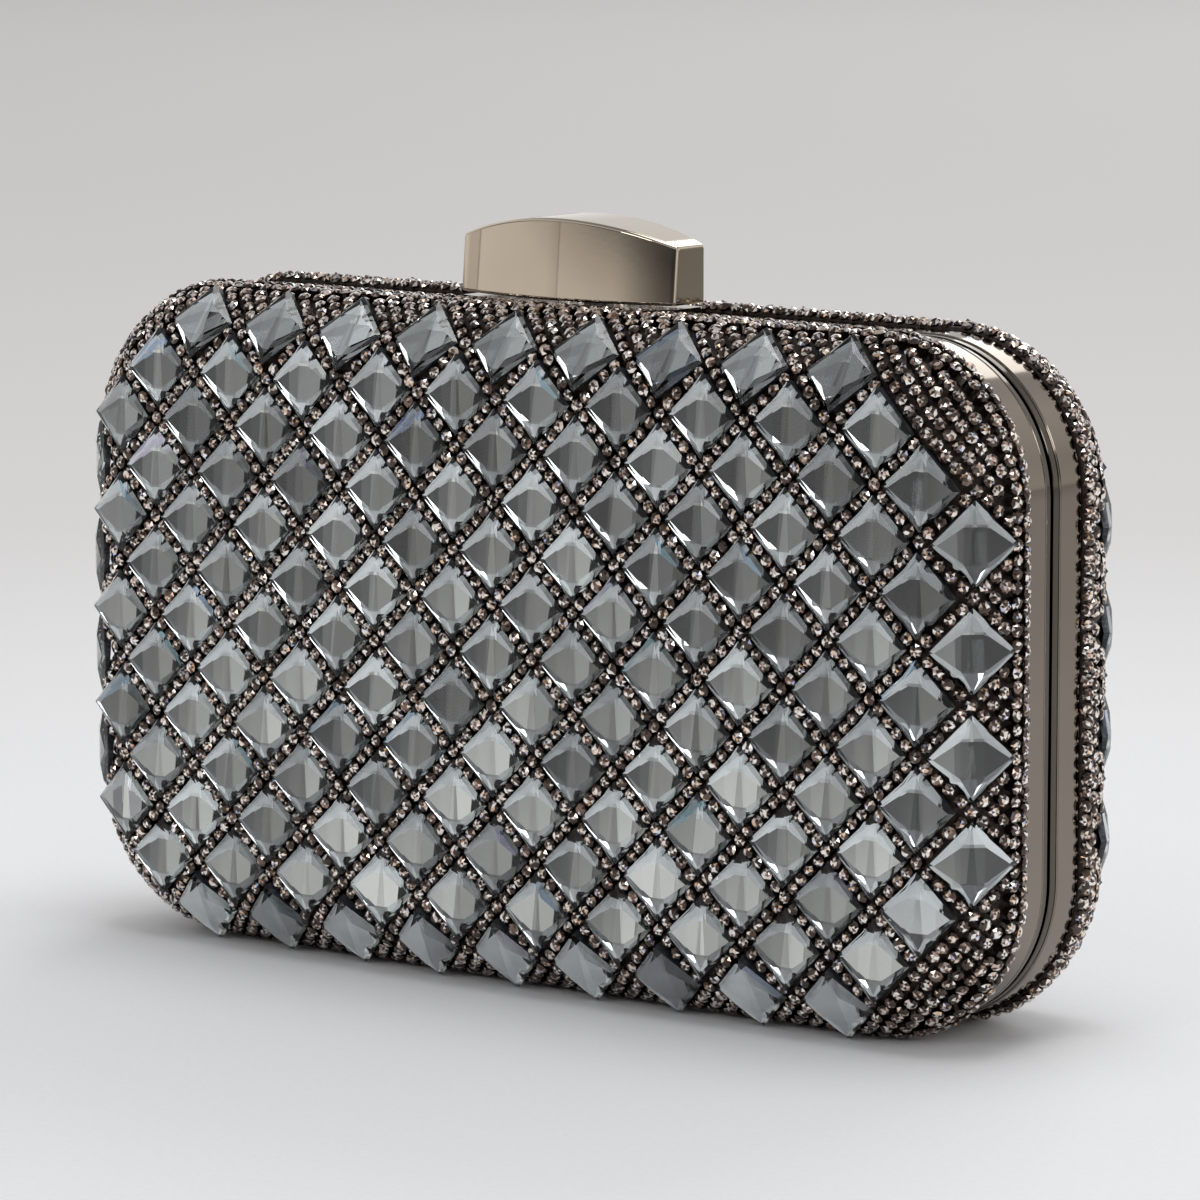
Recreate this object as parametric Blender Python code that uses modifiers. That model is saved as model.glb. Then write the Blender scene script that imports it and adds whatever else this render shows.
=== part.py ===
"""Hard-shell evening clutch with a crystal-covered body, a metal frame and a tipping clasp.

The bag stands upright on its long edge. X runs along the bag, the front faces -Y,
+Z is up, and the two halves meet on the plane Y = 0. The origin lies on the surface
that the bag stands on, below its middle. All lengths are in metres.
"""

from math import acos, asin, cos, hypot, pi, radians, sin, sqrt

import bmesh
import bpy
from mathutils import Matrix, Vector

MM = 0.001

# Frame ring, seen from the front
RING_HALF_WIDTH = 96.5 * MM
RING_HALF_HEIGHT = 56.3 * MM
RING_CORNER_RADIUS = 25.5 * MM
RING_CORNER_STEPS = 8

# Frame strip of one half, measured from the seam plane and from the ring's outer surface
STRIP_WIDTH = 8.0 * MM
STRIP_THICKNESS = 1.2 * MM
STRIP_EDGE_ROUND = 0.45 * MM
SEAM_HALF_GAP = 0.68 * MM
SHOULDER_WIDTH = 1.5 * MM
SHOULDER_DIP = 0.3 * MM
SHOULDER_STEP = 0.12 * MM
LEDGE_DEPTH = 2.0 * MM
FLANGE_DEPTH = 3.0 * MM
FLANGE_THICKNESS = 1.5 * MM
FLANGE_HALF_GAP = 0.15 * MM

# Fits
CLEARANCE = 0.3 * MM
OVERRUN = 1.0 * MM

# Body surface that the stones are glued on, one half
GLUE_OVERHANG = 0.3 * MM
CROWN_DEPTH = 23.5 * MM
SIDE_EDGE_RADIUS = 12.5 * MM
TOP_EDGE_RADIUS = 11.7 * MM
SIDE_CROWN_DROP = 2.4 * MM
TOP_CROWN_DROP = 2.35 * MM
SKIN_EDGE_STEPS = 4
SHELL_EDGE_STEPS = 3

# Layers of one half, from the glued stones inwards
PAVE_HEIGHT = 1.0 * MM
CARRIER_THICKNESS = 1.5 * MM
SHELL_THICKNESS = 1.5 * MM
LINING_THICKNESS = 1.0 * MM
LINING_RIM = 0.5 * MM

# Square crystals, set as diamonds on a lattice
CRYSTAL_PITCH = 17.1 * MM
CRYSTAL_SIDE = 10.0 * MM
CRYSTAL_TABLE_WIDTH = 4.1 * MM
CRYSTAL_TABLE_HEIGHT = 5.9 * MM
CRYSTAL_RISE = 2.0 * MM
CRYSTAL_GIRDLE_RISE = 0.75 * MM
CRYSTAL_SINK = 0.4 * MM
CRYSTAL_LEAN_STEP = 0.3 * MM
CRYSTAL_ROWS = 6
CRYSTALS_IN_ROW = {0: 11, 1: 12, 2: 11, 3: 12, 4: 11, 5: 10, 6: 9}

# Barrel hinges in the bottom of the seam
HINGE_CORNER_GAP = 4.0 * MM
HINGE_LENGTH = 24.0 * MM
HINGE_AXIS_DEPTH = 0.8 * MM
BARREL_RADIUS = 1.2 * MM
BORE_RADIUS = 0.7 * MM
PIN_RADIUS = 0.45 * MM
PIN_HEAD_RADIUS = 0.8 * MM
PIN_HEAD_LENGTH = 0.6 * MM
MIDDLE_KNUCKLE_LENGTH = 8.0 * MM
LEAF_WIDTH = 7.6 * MM
LEAF_THICKNESS = 0.8 * MM
LEAF_POCKET = 0.1 * MM
HINGE_RIVET_SPREAD = 7.0 * MM
HINGE_RIVET_Y = 5.0 * MM

# Rivets and screws
RIVET_RADIUS = 0.8 * MM
RIVET_HEAD_RADIUS = 1.3 * MM
RIVET_HEAD_HEIGHT = 0.5 * MM
SCREW_RADIUS = 0.7 * MM
SCREW_HEAD_RADIUS = 1.4 * MM
SCREW_HEAD_HEIGHT = 0.8 * MM
SCREW_SLOT_WIDTH = 0.5 * MM
SCREW_SLOT_DEPTH = 0.35 * MM

# Clasp bar and its base, heights measured from the top of the frame
CLASP_HALF_LENGTH = 23.0 * MM
CLASP_END_HALF_DEPTH = 4.1 * MM
CLASP_FRONT_BOW = 4.1 * MM
CLASP_BACK_BOW = 2.4 * MM
CLASP_END_HEIGHT = 9.8 * MM
CLASP_ARCH_RISE = 3.9 * MM
CLASP_TOP_BEVEL = 0.6 * MM
CLASP_STEPS = 12
CLASP_GAP = 0.6 * MM
BASE_THICKNESS = 0.9 * MM
BASE_INSET = 0.3 * MM

# Latch under the clasp
PIVOT_Y = 4.6 * MM
PIVOT_DEPTH = 4.5 * MM
PIVOT_PIN_RADIUS = 0.65 * MM
PIVOT_BORE_RADIUS = 0.95 * MM
PIVOT_HUB_RADIUS = 1.6 * MM
LEVER_WIDTH = 5.0 * MM
LEVER_THICKNESS = 1.2 * MM
LEVER_RAISE = 1.75 * MM
STEM_THICKNESS = 2.0 * MM
STEM_TRAVEL = 0.9 * MM
STEM_POCKET_DEPTH = 3.0 * MM
HOOK_LENGTH = 1.0 * MM
HOOK_DROP = 1.2 * MM
CATCH_PLATE_Y = 3.2 * MM
CATCH_THICKNESS = 1.0 * MM
CATCH_WIDTH = 16.0 * MM
CATCH_HEIGHT = 4.6 * MM
CATCH_ENGAGEMENT = 0.8 * MM
CATCH_TAB_WIDTH = 3.8 * MM
CATCH_TAB_LENGTH = 3.4 * MM
BRACKET_WIDTH = 22.0 * MM
BRACKET_DEPTH = 5.7 * MM
BRACKET_THICKNESS = 0.8 * MM
BRACKET_EAR_THICKNESS = 1.0 * MM
BRACKET_SCREW_SPREAD = 8.8 * MM
SPRING_WIRE_RADIUS = 0.15 * MM
SPRING_COIL_RADIUS = 1.65 * MM
SPRING_PITCH = 0.8 * MM
SPRING_TURNS = 2
SPRING_POINTS_PER_TURN = 10
SPRING_LEG = 2.6 * MM
SPRING_HOOK = 1.2 * MM

ROUND_SEGMENTS = 16
SMALL_ROUND_SEGMENTS = 12

# Places worked out from the sizes above
RING_CENTRE_Z = RING_HALF_HEIGHT + GLUE_OVERHANG + PAVE_HEIGHT
RING_TOP_Z = RING_CENTRE_Z + RING_HALF_HEIGHT
RING_BOTTOM_Z = RING_CENTRE_Z - RING_HALF_HEIGHT
HINGE_X = RING_HALF_WIDTH - RING_CORNER_RADIUS - HINGE_CORNER_GAP - HINGE_LENGTH / 2
HINGE_AXIS_Z = RING_BOTTOM_Z + HINGE_AXIS_DEPTH
PIVOT_Z = RING_TOP_Z - PIVOT_DEPTH
FLANGE_BACK = FLANGE_HALF_GAP + FLANGE_THICKNESS
SHELL_OFFSET = -(GLUE_OVERHANG + STRIP_THICKNESS + CLEARANCE)
LINING_OFFSET = SHELL_OFFSET - SHELL_THICKNESS - CLEARANCE
BRACKET_FRONT_Y = FLANGE_BACK + CLEARANCE
BRACKET_BACK_Y = BRACKET_FRONT_Y + BRACKET_DEPTH
BASE_BOTTOM_Z = RING_TOP_Z + CLEARANCE
BASE_TOP_Z = BASE_BOTTOM_Z + BASE_THICKNESS
BAR_BOTTOM_Z = BASE_TOP_Z + CLASP_GAP
WEB_TOP_Z = RING_TOP_Z - STRIP_THICKNESS
LEVER_TOP_Z = WEB_TOP_Z - CLEARANCE - LEVER_RAISE
LEVER_BOTTOM_Z = LEVER_TOP_Z - LEVER_THICKNESS

FRONT = -1
REAR = 1


def clear_scene():
    for old in list(bpy.data.objects):
        bpy.data.objects.remove(old)


def new_collection(name):
    collection = bpy.data.collections.new(name)
    bpy.context.scene.collection.children.link(collection)
    return collection


def new_material(name, colour, metallic, roughness):
    material = bpy.data.materials.new(name)
    material.use_nodes = True
    shader = material.node_tree.nodes["Principled BSDF"]
    shader.inputs["Base Color"].default_value = (*colour, 1.0)
    shader.inputs["Metallic"].default_value = metallic
    shader.inputs["Roughness"].default_value = roughness
    return material


clear_scene()
PIECES = new_collection("clutch_bag")
CUTTERS = new_collection("clutch_bag_cutters")
FRAME_METAL = new_material("champagne_nickel", (0.42, 0.37, 0.32), 1.0, 0.15)
STEEL = new_material("zinc_plated_steel", (0.45, 0.45, 0.46), 1.0, 0.35)
MOULDED = new_material("black_moulded_panel", (0.02, 0.02, 0.02), 0.0, 0.6)
CRYSTAL = new_material("smoky_crystal", (0.22, 0.25, 0.27), 0.6, 0.12)
SATIN = new_material("black_satin_lining", (0.015, 0.014, 0.016), 0.0, 0.5)


def add_object(name, mesh, material):
    piece = bpy.data.objects.new(name, mesh)
    PIECES.objects.link(piece)
    if material:
        mesh.materials.clear()
        mesh.materials.append(material)
    return piece


def mesh_from(bm, name):
    """A mesh from the closed bodies in bm, with their faces turned outwards."""
    if bm.calc_volume(signed=True) < 0:
        bmesh.ops.reverse_faces(bm, faces=bm.faces)
    mesh = bpy.data.meshes.new(name)
    bm.to_mesh(mesh)
    bm.free()
    return mesh


def box(name, low, high, material=None):
    """A box between two corners."""
    bm = bmesh.new()
    bmesh.ops.create_cube(bm, size=1.0)
    size = Vector(high) - Vector(low)
    middle = (Vector(high) + Vector(low)) / 2
    bm.transform(Matrix.Translation(middle) @ Matrix.Diagonal((*size, 1.0)))
    return add_object(name, mesh_from(bm, name), material)


def cylinder(name, radius, start, end, segments=ROUND_SEGMENTS, material=None):
    """A cylinder from the start point to the end point."""
    axis = Vector(end) - Vector(start)
    bm = bmesh.new()
    bmesh.ops.create_cone(bm, cap_ends=True, segments=segments, radius1=radius,
                          radius2=radius, depth=axis.length)
    turn = axis.to_track_quat("Z", "Y").to_matrix().to_4x4()
    middle = (Vector(start) + Vector(end)) / 2
    bm.transform(Matrix.Translation(middle) @ turn)
    piece = add_object(name, mesh_from(bm, name), material)
    shade(piece)
    return piece


def shade(piece):
    piece.data.shade_smooth()
    piece.data.set_sharp_from_angle(angle=radians(35))


def as_tool(tool):
    """Keep a cutter, or a body that is joined to another, out of the finished parts."""
    tool.hide_render = True
    tool.display_type = "WIRE"
    PIECES.objects.unlink(tool)
    CUTTERS.objects.link(tool)


def combine(piece, tool, operation):
    modifier = piece.modifiers.new(tool.name, "BOOLEAN")
    modifier.operation = operation
    modifier.solver = "EXACT"
    modifier.object = tool
    if tool.name in PIECES.objects:
        as_tool(tool)


def cut(piece, tool):
    combine(piece, tool, "DIFFERENCE")


def join(piece, tool):
    combine(piece, tool, "UNION")


def closed_curve(name, points):
    data = bpy.data.curves.new(name, "CURVE")
    data.dimensions = "2D"
    spline = data.splines.new("POLY")
    spline.points.add(len(points) - 1)
    for place, (x, y) in zip(spline.points, points):
        place.co = (x, y, 0.0, 1.0)
    spline.use_cyclic_u = True
    curve = bpy.data.objects.new(name, data)
    PIECES.objects.link(curve)
    return curve


def to_mesh_object(name, curve, material):
    """Turn an evaluated curve into a mesh object with welded caps, in world space."""
    bpy.context.view_layer.update()
    graph = bpy.context.evaluated_depsgraph_get()
    mesh = bpy.data.meshes.new_from_object(curve.evaluated_get(graph))
    bm = bmesh.new()
    bm.from_mesh(mesh)
    bmesh.ops.remove_doubles(bm, verts=bm.verts, dist=0.001 * MM)
    bm.transform(curve.matrix_world)
    bpy.data.objects.remove(curve)
    piece = add_object(name, mesh_from(bm, name), material)
    shade(piece)
    return piece


def rounded_outline(half_width, half_height, radius, steps):
    """Points of a rounded rectangle, counter-clockwise, centred on the origin."""
    points = []
    for corner, (side_x, side_y) in enumerate(((1, 1), (-1, 1), (-1, -1), (1, -1))):
        centre_x = side_x * (half_width - radius)
        centre_y = side_y * (half_height - radius)
        for step in range(steps + 1):
            angle = (corner + step / steps) * pi / 2
            points.append((centre_x + radius * cos(angle), centre_y + radius * sin(angle)))
    return points


def frame_section(side):
    """Section of one frame half as (distance inwards, distance from the seam)."""
    shoulder_end = SEAM_HALF_GAP + SHOULDER_WIDTH
    section = [
        (SHOULDER_DIP + SHOULDER_STEP, SEAM_HALF_GAP),
        (SHOULDER_STEP, shoulder_end),
        (0.0, shoulder_end + SHOULDER_STEP / 2),
        (0.0, STRIP_WIDTH - STRIP_EDGE_ROUND),
        (STRIP_EDGE_ROUND * (1 - cos(pi / 4)), STRIP_WIDTH - STRIP_EDGE_ROUND * (1 - sin(pi / 4))),
        (STRIP_EDGE_ROUND, STRIP_WIDTH),
        (STRIP_THICKNESS, STRIP_WIDTH),
        (STRIP_THICKNESS, FLANGE_BACK),
        (FLANGE_DEPTH, FLANGE_BACK),
        (FLANGE_DEPTH, FLANGE_HALF_GAP),
        (LEDGE_DEPTH, FLANGE_HALF_GAP),
        (LEDGE_DEPTH, SEAM_HALF_GAP),
    ]
    return [(inwards, -side * from_seam) for inwards, from_seam in section]


def frame_half(name, side):
    """A metal strip with an inner flange at the seam, bent round the rounded rectangle."""
    outline = rounded_outline(RING_HALF_WIDTH, RING_HALF_HEIGHT, RING_CORNER_RADIUS, RING_CORNER_STEPS)
    path = closed_curve(name + "_path", outline)
    section = closed_curve(name + "_section", frame_section(side))
    path.data.bevel_mode = "OBJECT"
    path.data.bevel_object = section
    path.rotation_euler = (radians(90), 0.0, 0.0)
    path.location = (0.0, 0.0, RING_CENTRE_Z)
    frame = to_mesh_object(name, path, FRAME_METAL)
    bpy.data.objects.remove(section)
    return frame


def body_point(u, v, offset):
    """Point of the front body surface at the flat-sheet place (u, v), raised by the offset.

    The flat sheet is wrapped over the crown and round the edges. The edge radius runs
    from the side radius to the top radius round each corner.
    """
    half_width = RING_HALF_WIDTH + GLUE_OVERHANG
    half_height = RING_HALF_HEIGHT + GLUE_OVERHANG
    corner = RING_CORNER_RADIUS + GLUE_OVERHANG
    straight_x = half_width - corner
    straight_z = half_height - corner
    past_x = max(abs(u) - straight_x, 0.0)
    past_z = max(abs(v) - straight_z, 0.0)
    past = hypot(past_x, past_z)
    x = min(abs(u), straight_x)
    z = min(abs(v), straight_z)
    toward_x = past_x / past if past else 0.0
    toward_z = past_z / past if past else 0.0
    turn = 0.0
    drop = 0.0
    if past:
        reach = 1 / hypot(toward_x / (corner - SIDE_EDGE_RADIUS), toward_z / (corner - TOP_EDGE_RADIUS))
        radius = corner - reach
        along = max(past - reach, 0.0)
        turn = min(along / radius, pi / 2)
        flat = min(past, reach) + radius * sin(turn)
        x += toward_x * flat
        z += toward_z * flat
        drop = radius * (1 - cos(turn)) + along - turn * radius
    drop += SIDE_CROWN_DROP * (x / half_width) ** 2 + TOP_CROWN_DROP * (z / half_height) ** 2
    x += offset * toward_x * sin(turn)
    z += offset * toward_z * sin(turn)
    y = -CROWN_DEPTH + drop - offset * cos(turn)
    return Vector((x if u >= 0 else -x, y, z if v >= 0 else -z))


def sheet_lines(half_size, edge_radius, edge_steps):
    """Grid lines of the flat sheet: middle, corner's start, then round the edge, then the wall."""
    crown_end = half_size + GLUE_OVERHANG - edge_radius
    lines = [0.0, half_size - RING_CORNER_RADIUS]
    lines += [crown_end + edge_radius * step / edge_steps * pi / 2 for step in range(edge_steps + 1)]
    lines.append(lines[-1] + CROWN_DEPTH - edge_radius)
    return [-line for line in reversed(lines[1:])] + lines


def half_place(point, side):
    """World point of one half, from a point of the front half centred on the ring."""
    return Vector((point.x, point.y * -side, point.z + RING_CENTRE_Z))


def body_layer(name, side, offset, thickness, rim, edge_steps, material):
    """One layer of a half: a sheet wrapped over the body, thickened inwards, cut at its rim."""
    lines_x = sheet_lines(RING_HALF_WIDTH, SIDE_EDGE_RADIUS, edge_steps)
    lines_z = sheet_lines(RING_HALF_HEIGHT, TOP_EDGE_RADIUS, edge_steps)
    bm = bmesh.new()
    bmesh.ops.create_grid(bm, x_segments=len(lines_x) - 1, y_segments=len(lines_z) - 1, size=1.0)
    for vert in bm.verts:
        column = round((vert.co.x + 1) / 2 * (len(lines_x) - 1))
        row = round((vert.co.y + 1) / 2 * (len(lines_z) - 1))
        vert.co = half_place(body_point(lines_x[column], lines_z[row], offset), side)
    bmesh.ops.triangulate(bm, faces=bm.faces)
    bm.normal_update()
    crown = max(bm.faces, key=lambda face: side * face.calc_center_median().y)
    if crown.normal.y * side < 0:
        bmesh.ops.reverse_faces(bm, faces=bm.faces)
    mesh = bpy.data.meshes.new(name)
    bm.to_mesh(mesh)
    bm.free()
    layer = add_object(name, mesh, material)
    thicken = layer.modifiers.new("thickness", "SOLIDIFY")
    thicken.thickness = thickness
    thicken.offset = -1.0
    thicken.use_even_offset = True
    reach = RING_HALF_WIDTH * 2
    far = -side * RING_HALF_WIDTH * 2
    near_y, far_y = sorted((side * rim, far))
    cut(layer, box(name + "_rim", (-reach, near_y, -reach), (reach, far_y, reach * 2)))
    shade(layer)
    return layer


def crystal_places():
    """Lattice places of one side's crystals on the flat sheet."""
    places = []
    half_pitch = CRYSTAL_PITCH / 2
    for row in range(-CRYSTAL_ROWS, CRYSTAL_ROWS + 1):
        count = CRYSTALS_IN_ROW[abs(row)]
        for column in range(count):
            places.append(((2 * column - count + 1) * half_pitch, row * half_pitch))
    return places


def crystal_corners():
    """Corners of one crystal round its foot: square foot and girdle on the point, upright table."""
    half = CRYSTAL_SIDE / sqrt(2)
    corners = []
    for x, y in ((half, 0.0), (0.0, half), (-half, 0.0), (0.0, -half)):
        corners.append(Vector((x, y, -CRYSTAL_SINK)))
        corners.append(Vector((x, y, CRYSTAL_GIRDLE_RISE)))
    for x in (-CRYSTAL_TABLE_WIDTH / 2, CRYSTAL_TABLE_WIDTH / 2):
        for y in (-CRYSTAL_TABLE_HEIGHT / 2, CRYSTAL_TABLE_HEIGHT / 2):
            corners.append(Vector((x, y, CRYSTAL_RISE)))
    return corners


def crystal_bodies(name, side):
    """All of one side's crystals, each with a table and eight crown facets, square to the surface."""
    bm = bmesh.new()
    for u, v in crystal_places():
        foot = body_point(u, v, 0.0)
        along = (body_point(u, v, CRYSTAL_RISE) - foot).normalized()
        left = body_point(u - CRYSTAL_LEAN_STEP, v, 0.0)
        right = body_point(u + CRYSTAL_LEAN_STEP, v, 0.0)
        across = (right - left).normalized()
        up = along.cross(across)
        across = up.cross(along)
        turn = Matrix((across, up, along)).transposed().to_4x4()
        place = Matrix.Translation(foot) @ turn
        corners = [bm.verts.new(place @ corner) for corner in crystal_corners()]
        bmesh.ops.convex_hull(bm, input=corners)
    for vert in bm.verts:
        vert.co = half_place(vert.co, side)
    return add_object(name, mesh_from(bm, name), None)


def crystal_sheet(name, side):
    """The padded carrier with its small stones as one skin, and the square crystals on it."""
    rim = STRIP_WIDTH + CLEARANCE
    thickness = PAVE_HEIGHT + CARRIER_THICKNESS
    sheet = body_layer(name, side, PAVE_HEIGHT, thickness, rim, SKIN_EDGE_STEPS, CRYSTAL)
    join(sheet, crystal_bodies(name + "_stones", side))
    return sheet


def hinge_knuckle(name, start, end):
    return cylinder(name, BARREL_RADIUS, (start, 0.0, HINGE_AXIS_Z), (end, 0.0, HINGE_AXIS_Z))


def axis_cutter(name, radius, start, end):
    return cylinder(name, radius, (start, 0.0, HINGE_AXIS_Z), (end, 0.0, HINGE_AXIS_Z))


def knuckle_spans(centre, side):
    """The (start, end) of each knuckle of one half: the middle one is the front's."""
    half = MIDDLE_KNUCKLE_LENGTH / 2
    if side == FRONT:
        return [(centre - half, centre + half)]
    outer = HINGE_LENGTH / 2
    inner = half + CLEARANCE
    return [(centre - outer, centre - inner), (centre + inner, centre + outer)]


def leaf_rivet_places(centre):
    return [centre - HINGE_RIVET_SPREAD, centre + HINGE_RIVET_SPREAD]


def hinge_leaf(name, centre, side):
    """A leaf with its knuckles, cleared round the other leaf's knuckles."""
    low_z = RING_BOTTOM_Z + STRIP_THICKNESS - LEAF_POCKET + CLEARANCE
    high_z = low_z + LEAF_THICKNESS
    near_y, far_y = sorted((0.0, side * LEAF_WIDTH))
    half = HINGE_LENGTH / 2
    leaf = box(name, (centre - half, near_y, low_z), (centre + half, far_y, high_z), STEEL)
    for number, (start, end) in enumerate(knuckle_spans(centre, side)):
        join(leaf, hinge_knuckle(f"{name}_knuckle_{number}", start, end))
    for number, (start, end) in enumerate(knuckle_spans(centre, -side)):
        room = BARREL_RADIUS + CLEARANCE
        cut(leaf, axis_cutter(f"{name}_room_{number}", room, start - CLEARANCE, end + CLEARANCE))
    cut(leaf, axis_cutter(name + "_bore", BORE_RADIUS, centre - half - OVERRUN, centre + half + OVERRUN))
    for number, x in enumerate(leaf_rivet_places(centre)):
        y = side * HINGE_RIVET_Y
        cut(leaf, cylinder(f"{name}_hole_{number}", RIVET_RADIUS + CLEARANCE,
                           (x, y, low_z - OVERRUN), (x, y, high_z + OVERRUN), SMALL_ROUND_SEGMENTS))
    return leaf


def hinge_pin(name, centre):
    """A pin with a peened head at each end."""
    half = HINGE_LENGTH / 2 + CLEARANCE
    reach = half + PIN_HEAD_LENGTH / 2
    pin = axis_cutter(name, PIN_RADIUS, centre - reach, centre + reach)
    pin.data.materials.append(STEEL)
    for end in (-1, 1):
        start = centre + end * half
        head = axis_cutter(f"{name}_head_{end + 1}", PIN_HEAD_RADIUS, start, start + end * PIN_HEAD_LENGTH)
        join(pin, head)
    return pin


def hinge_room(frame, centre, side):
    """Clear a frame half for a hinge: the barrel's channel, the leaf's pocket, rivet holes."""
    half = HINGE_LENGTH / 2 + CLEARANCE
    channel = half + PIN_HEAD_LENGTH + CLEARANCE
    prefix = f"{frame.name}_hinge_{round(centre / MM)}"
    cut(frame, axis_cutter(prefix + "_channel", BARREL_RADIUS + CLEARANCE,
                           centre - channel, centre + channel))
    low_z = RING_BOTTOM_Z + STRIP_THICKNESS - LEAF_POCKET
    near_y, far_y = sorted((-side * OVERRUN, side * (STRIP_WIDTH + OVERRUN)))
    cut(frame, box(prefix + "_pocket", (centre - half, near_y, low_z),
                   (centre + half, far_y, low_z + FLANGE_DEPTH)))
    for number, x in enumerate(leaf_rivet_places(centre)):
        y = side * HINGE_RIVET_Y
        cut(frame, cylinder(f"{prefix}_hole_{number}", RIVET_RADIUS + CLEARANCE,
                            (x, y, RING_BOTTOM_Z - OVERRUN), (x, y, low_z + OVERRUN), SMALL_ROUND_SEGMENTS))


def shell_hinge_notch(shell, centre, side):
    """Clear a panel's rim round a hinge leaf and its rivets."""
    half = HINGE_LENGTH / 2 + CLEARANCE
    near_y, far_y = sorted((0.0, side * (LEAF_WIDTH + CLEARANCE)))
    low_z = RING_BOTTOM_Z
    high_z = RING_BOTTOM_Z + STRIP_THICKNESS + SHELL_THICKNESS + CLEARANCE + OVERRUN
    cut(shell, box(f"{shell.name}_notch_{round(centre / MM)}", (centre - half, near_y, low_z),
                   (centre + half, far_y, high_z)))


def fastener(name, radius, head_radius, head_height, tip, head_face, head_end, material):
    """A plain round fastener along Z: shank from the tip to the head's face, then the head."""
    shank = cylinder(name, radius, tip, (tip[0], tip[1], (head_face + head_end) / 2),
                     SMALL_ROUND_SEGMENTS, material)
    direction = 1 if head_end > head_face else -1
    head = cylinder(name + "_head", head_radius, (tip[0], tip[1], head_face),
                    (tip[0], tip[1], head_face + direction * head_height), SMALL_ROUND_SEGMENTS)
    join(shank, head)
    return shank


def hinge_rivets(side_name, half_name, centre, side):
    low_z = RING_BOTTOM_Z
    face = RING_BOTTOM_Z + STRIP_THICKNESS - LEAF_POCKET + CLEARANCE + LEAF_THICKNESS + CLEARANCE
    rivets = []
    for number, x in enumerate(leaf_rivet_places(centre)):
        name = f"hinge_rivet_{side_name}_{half_name}_{number + 1}"
        tip = (x, side * HINGE_RIVET_Y, low_z)
        rivets.append(fastener(name, RIVET_RADIUS, RIVET_HEAD_RADIUS, RIVET_HEAD_HEIGHT, tip,
                               face, face + RIVET_HEAD_HEIGHT, STEEL))
    return rivets


def clasp_depths(x, inset):
    """Front and back of the clasp's lens outline at x, drawn in by the inset."""
    bow = 1 - (x / CLASP_HALF_LENGTH) ** 2
    front = -(CLASP_END_HALF_DEPTH + CLASP_FRONT_BOW * bow - inset)
    back = CLASP_END_HALF_DEPTH + CLASP_BACK_BOW * bow - inset
    return front, back


def clasp_outline(inset):
    half = CLASP_HALF_LENGTH - inset
    stations = [half * (2 * step / CLASP_STEPS - 1) for step in range(CLASP_STEPS + 1)]
    fronts = [(x, clasp_depths(x, inset)[0]) for x in stations]
    backs = [(x, clasp_depths(x, inset)[1]) for x in reversed(stations)]
    return fronts + backs


def extruded(name, outline, low_z, high_z, material):
    """A flat outline raised from one height to another."""
    curve = closed_curve(name + "_outline", outline)
    curve.data.fill_mode = "BOTH"
    curve.data.extrude = (high_z - low_z) / 2
    curve.location = (0.0, 0.0, (high_z + low_z) / 2)
    return to_mesh_object(name, curve, material)


def clasp_arch_z(x):
    return BAR_BOTTOM_Z + CLASP_END_HEIGHT + CLASP_ARCH_RISE * (1 - (x / CLASP_HALF_LENGTH) ** 2)


def clasp_bar():
    """A lens-shaped bar with an arched top, bevelled edges and a pocket for the lever's stem."""
    bm = bmesh.new()
    bmesh.ops.create_grid(bm, x_segments=CLASP_STEPS, y_segments=1, size=1.0)
    for vert in bm.verts:
        x = vert.co.x * CLASP_HALF_LENGTH
        front, back = clasp_depths(x, 0.0)
        vert.co = (x, front if vert.co.y < 0 else back, BAR_BOTTOM_Z)
    lifted = bmesh.ops.extrude_face_region(bm, geom=bm.faces[:])["geom"]
    for part in lifted:
        if isinstance(part, bmesh.types.BMVert):
            part.co.z = clasp_arch_z(part.co.x)
    bar = add_object("clasp_bar", mesh_from(bm, "clasp_bar"), FRAME_METAL)
    edge = bar.modifiers.new("edges", "BEVEL")
    edge.width = CLASP_TOP_BEVEL
    edge.segments = 2
    edge.limit_method = "ANGLE"
    edge.angle_limit = radians(60)
    half_x = LEVER_WIDTH / 2 + CLEARANCE
    half_y = STEM_THICKNESS / 2 + CLEARANCE
    cut(bar, box("clasp_bar_pocket", (-half_x, PIVOT_Y - half_y, BAR_BOTTOM_Z - OVERRUN),
                 (half_x, PIVOT_Y + half_y, BAR_BOTTOM_Z + STEM_POCKET_DEPTH)))
    shade(bar)
    return bar


def stem_slot(name, low_z, high_z):
    """Room for the stem, with its travel towards the back."""
    half_x = LEVER_WIDTH / 2 + CLEARANCE
    front_y = PIVOT_Y - STEM_THICKNESS / 2 - CLEARANCE
    back_y = PIVOT_Y + STEM_THICKNESS / 2 + CLEARANCE + STEM_TRAVEL
    return box(name, (-half_x, front_y, low_z), (half_x, back_y, high_z))


def screw_hole(name, x, low_z, high_z):
    return cylinder(name, SCREW_RADIUS + CLEARANCE, (x, PIVOT_Y, low_z), (x, PIVOT_Y, high_z),
                    SMALL_ROUND_SEGMENTS)


def clasp_base():
    """A thin lens-shaped plate that the bar tips above."""
    plate = extruded("clasp_base", clasp_outline(BASE_INSET), BASE_BOTTOM_Z, BASE_TOP_Z, FRAME_METAL)
    cut(plate, stem_slot("clasp_base_slot", BASE_BOTTOM_Z - OVERRUN, BASE_TOP_Z + OVERRUN))
    for number, x in enumerate((-BRACKET_SCREW_SPREAD, BRACKET_SCREW_SPREAD)):
        cut(plate, screw_hole(f"clasp_base_hole_{number}", x, BASE_BOTTOM_Z - OVERRUN, BASE_TOP_Z + OVERRUN))
    return plate


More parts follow.
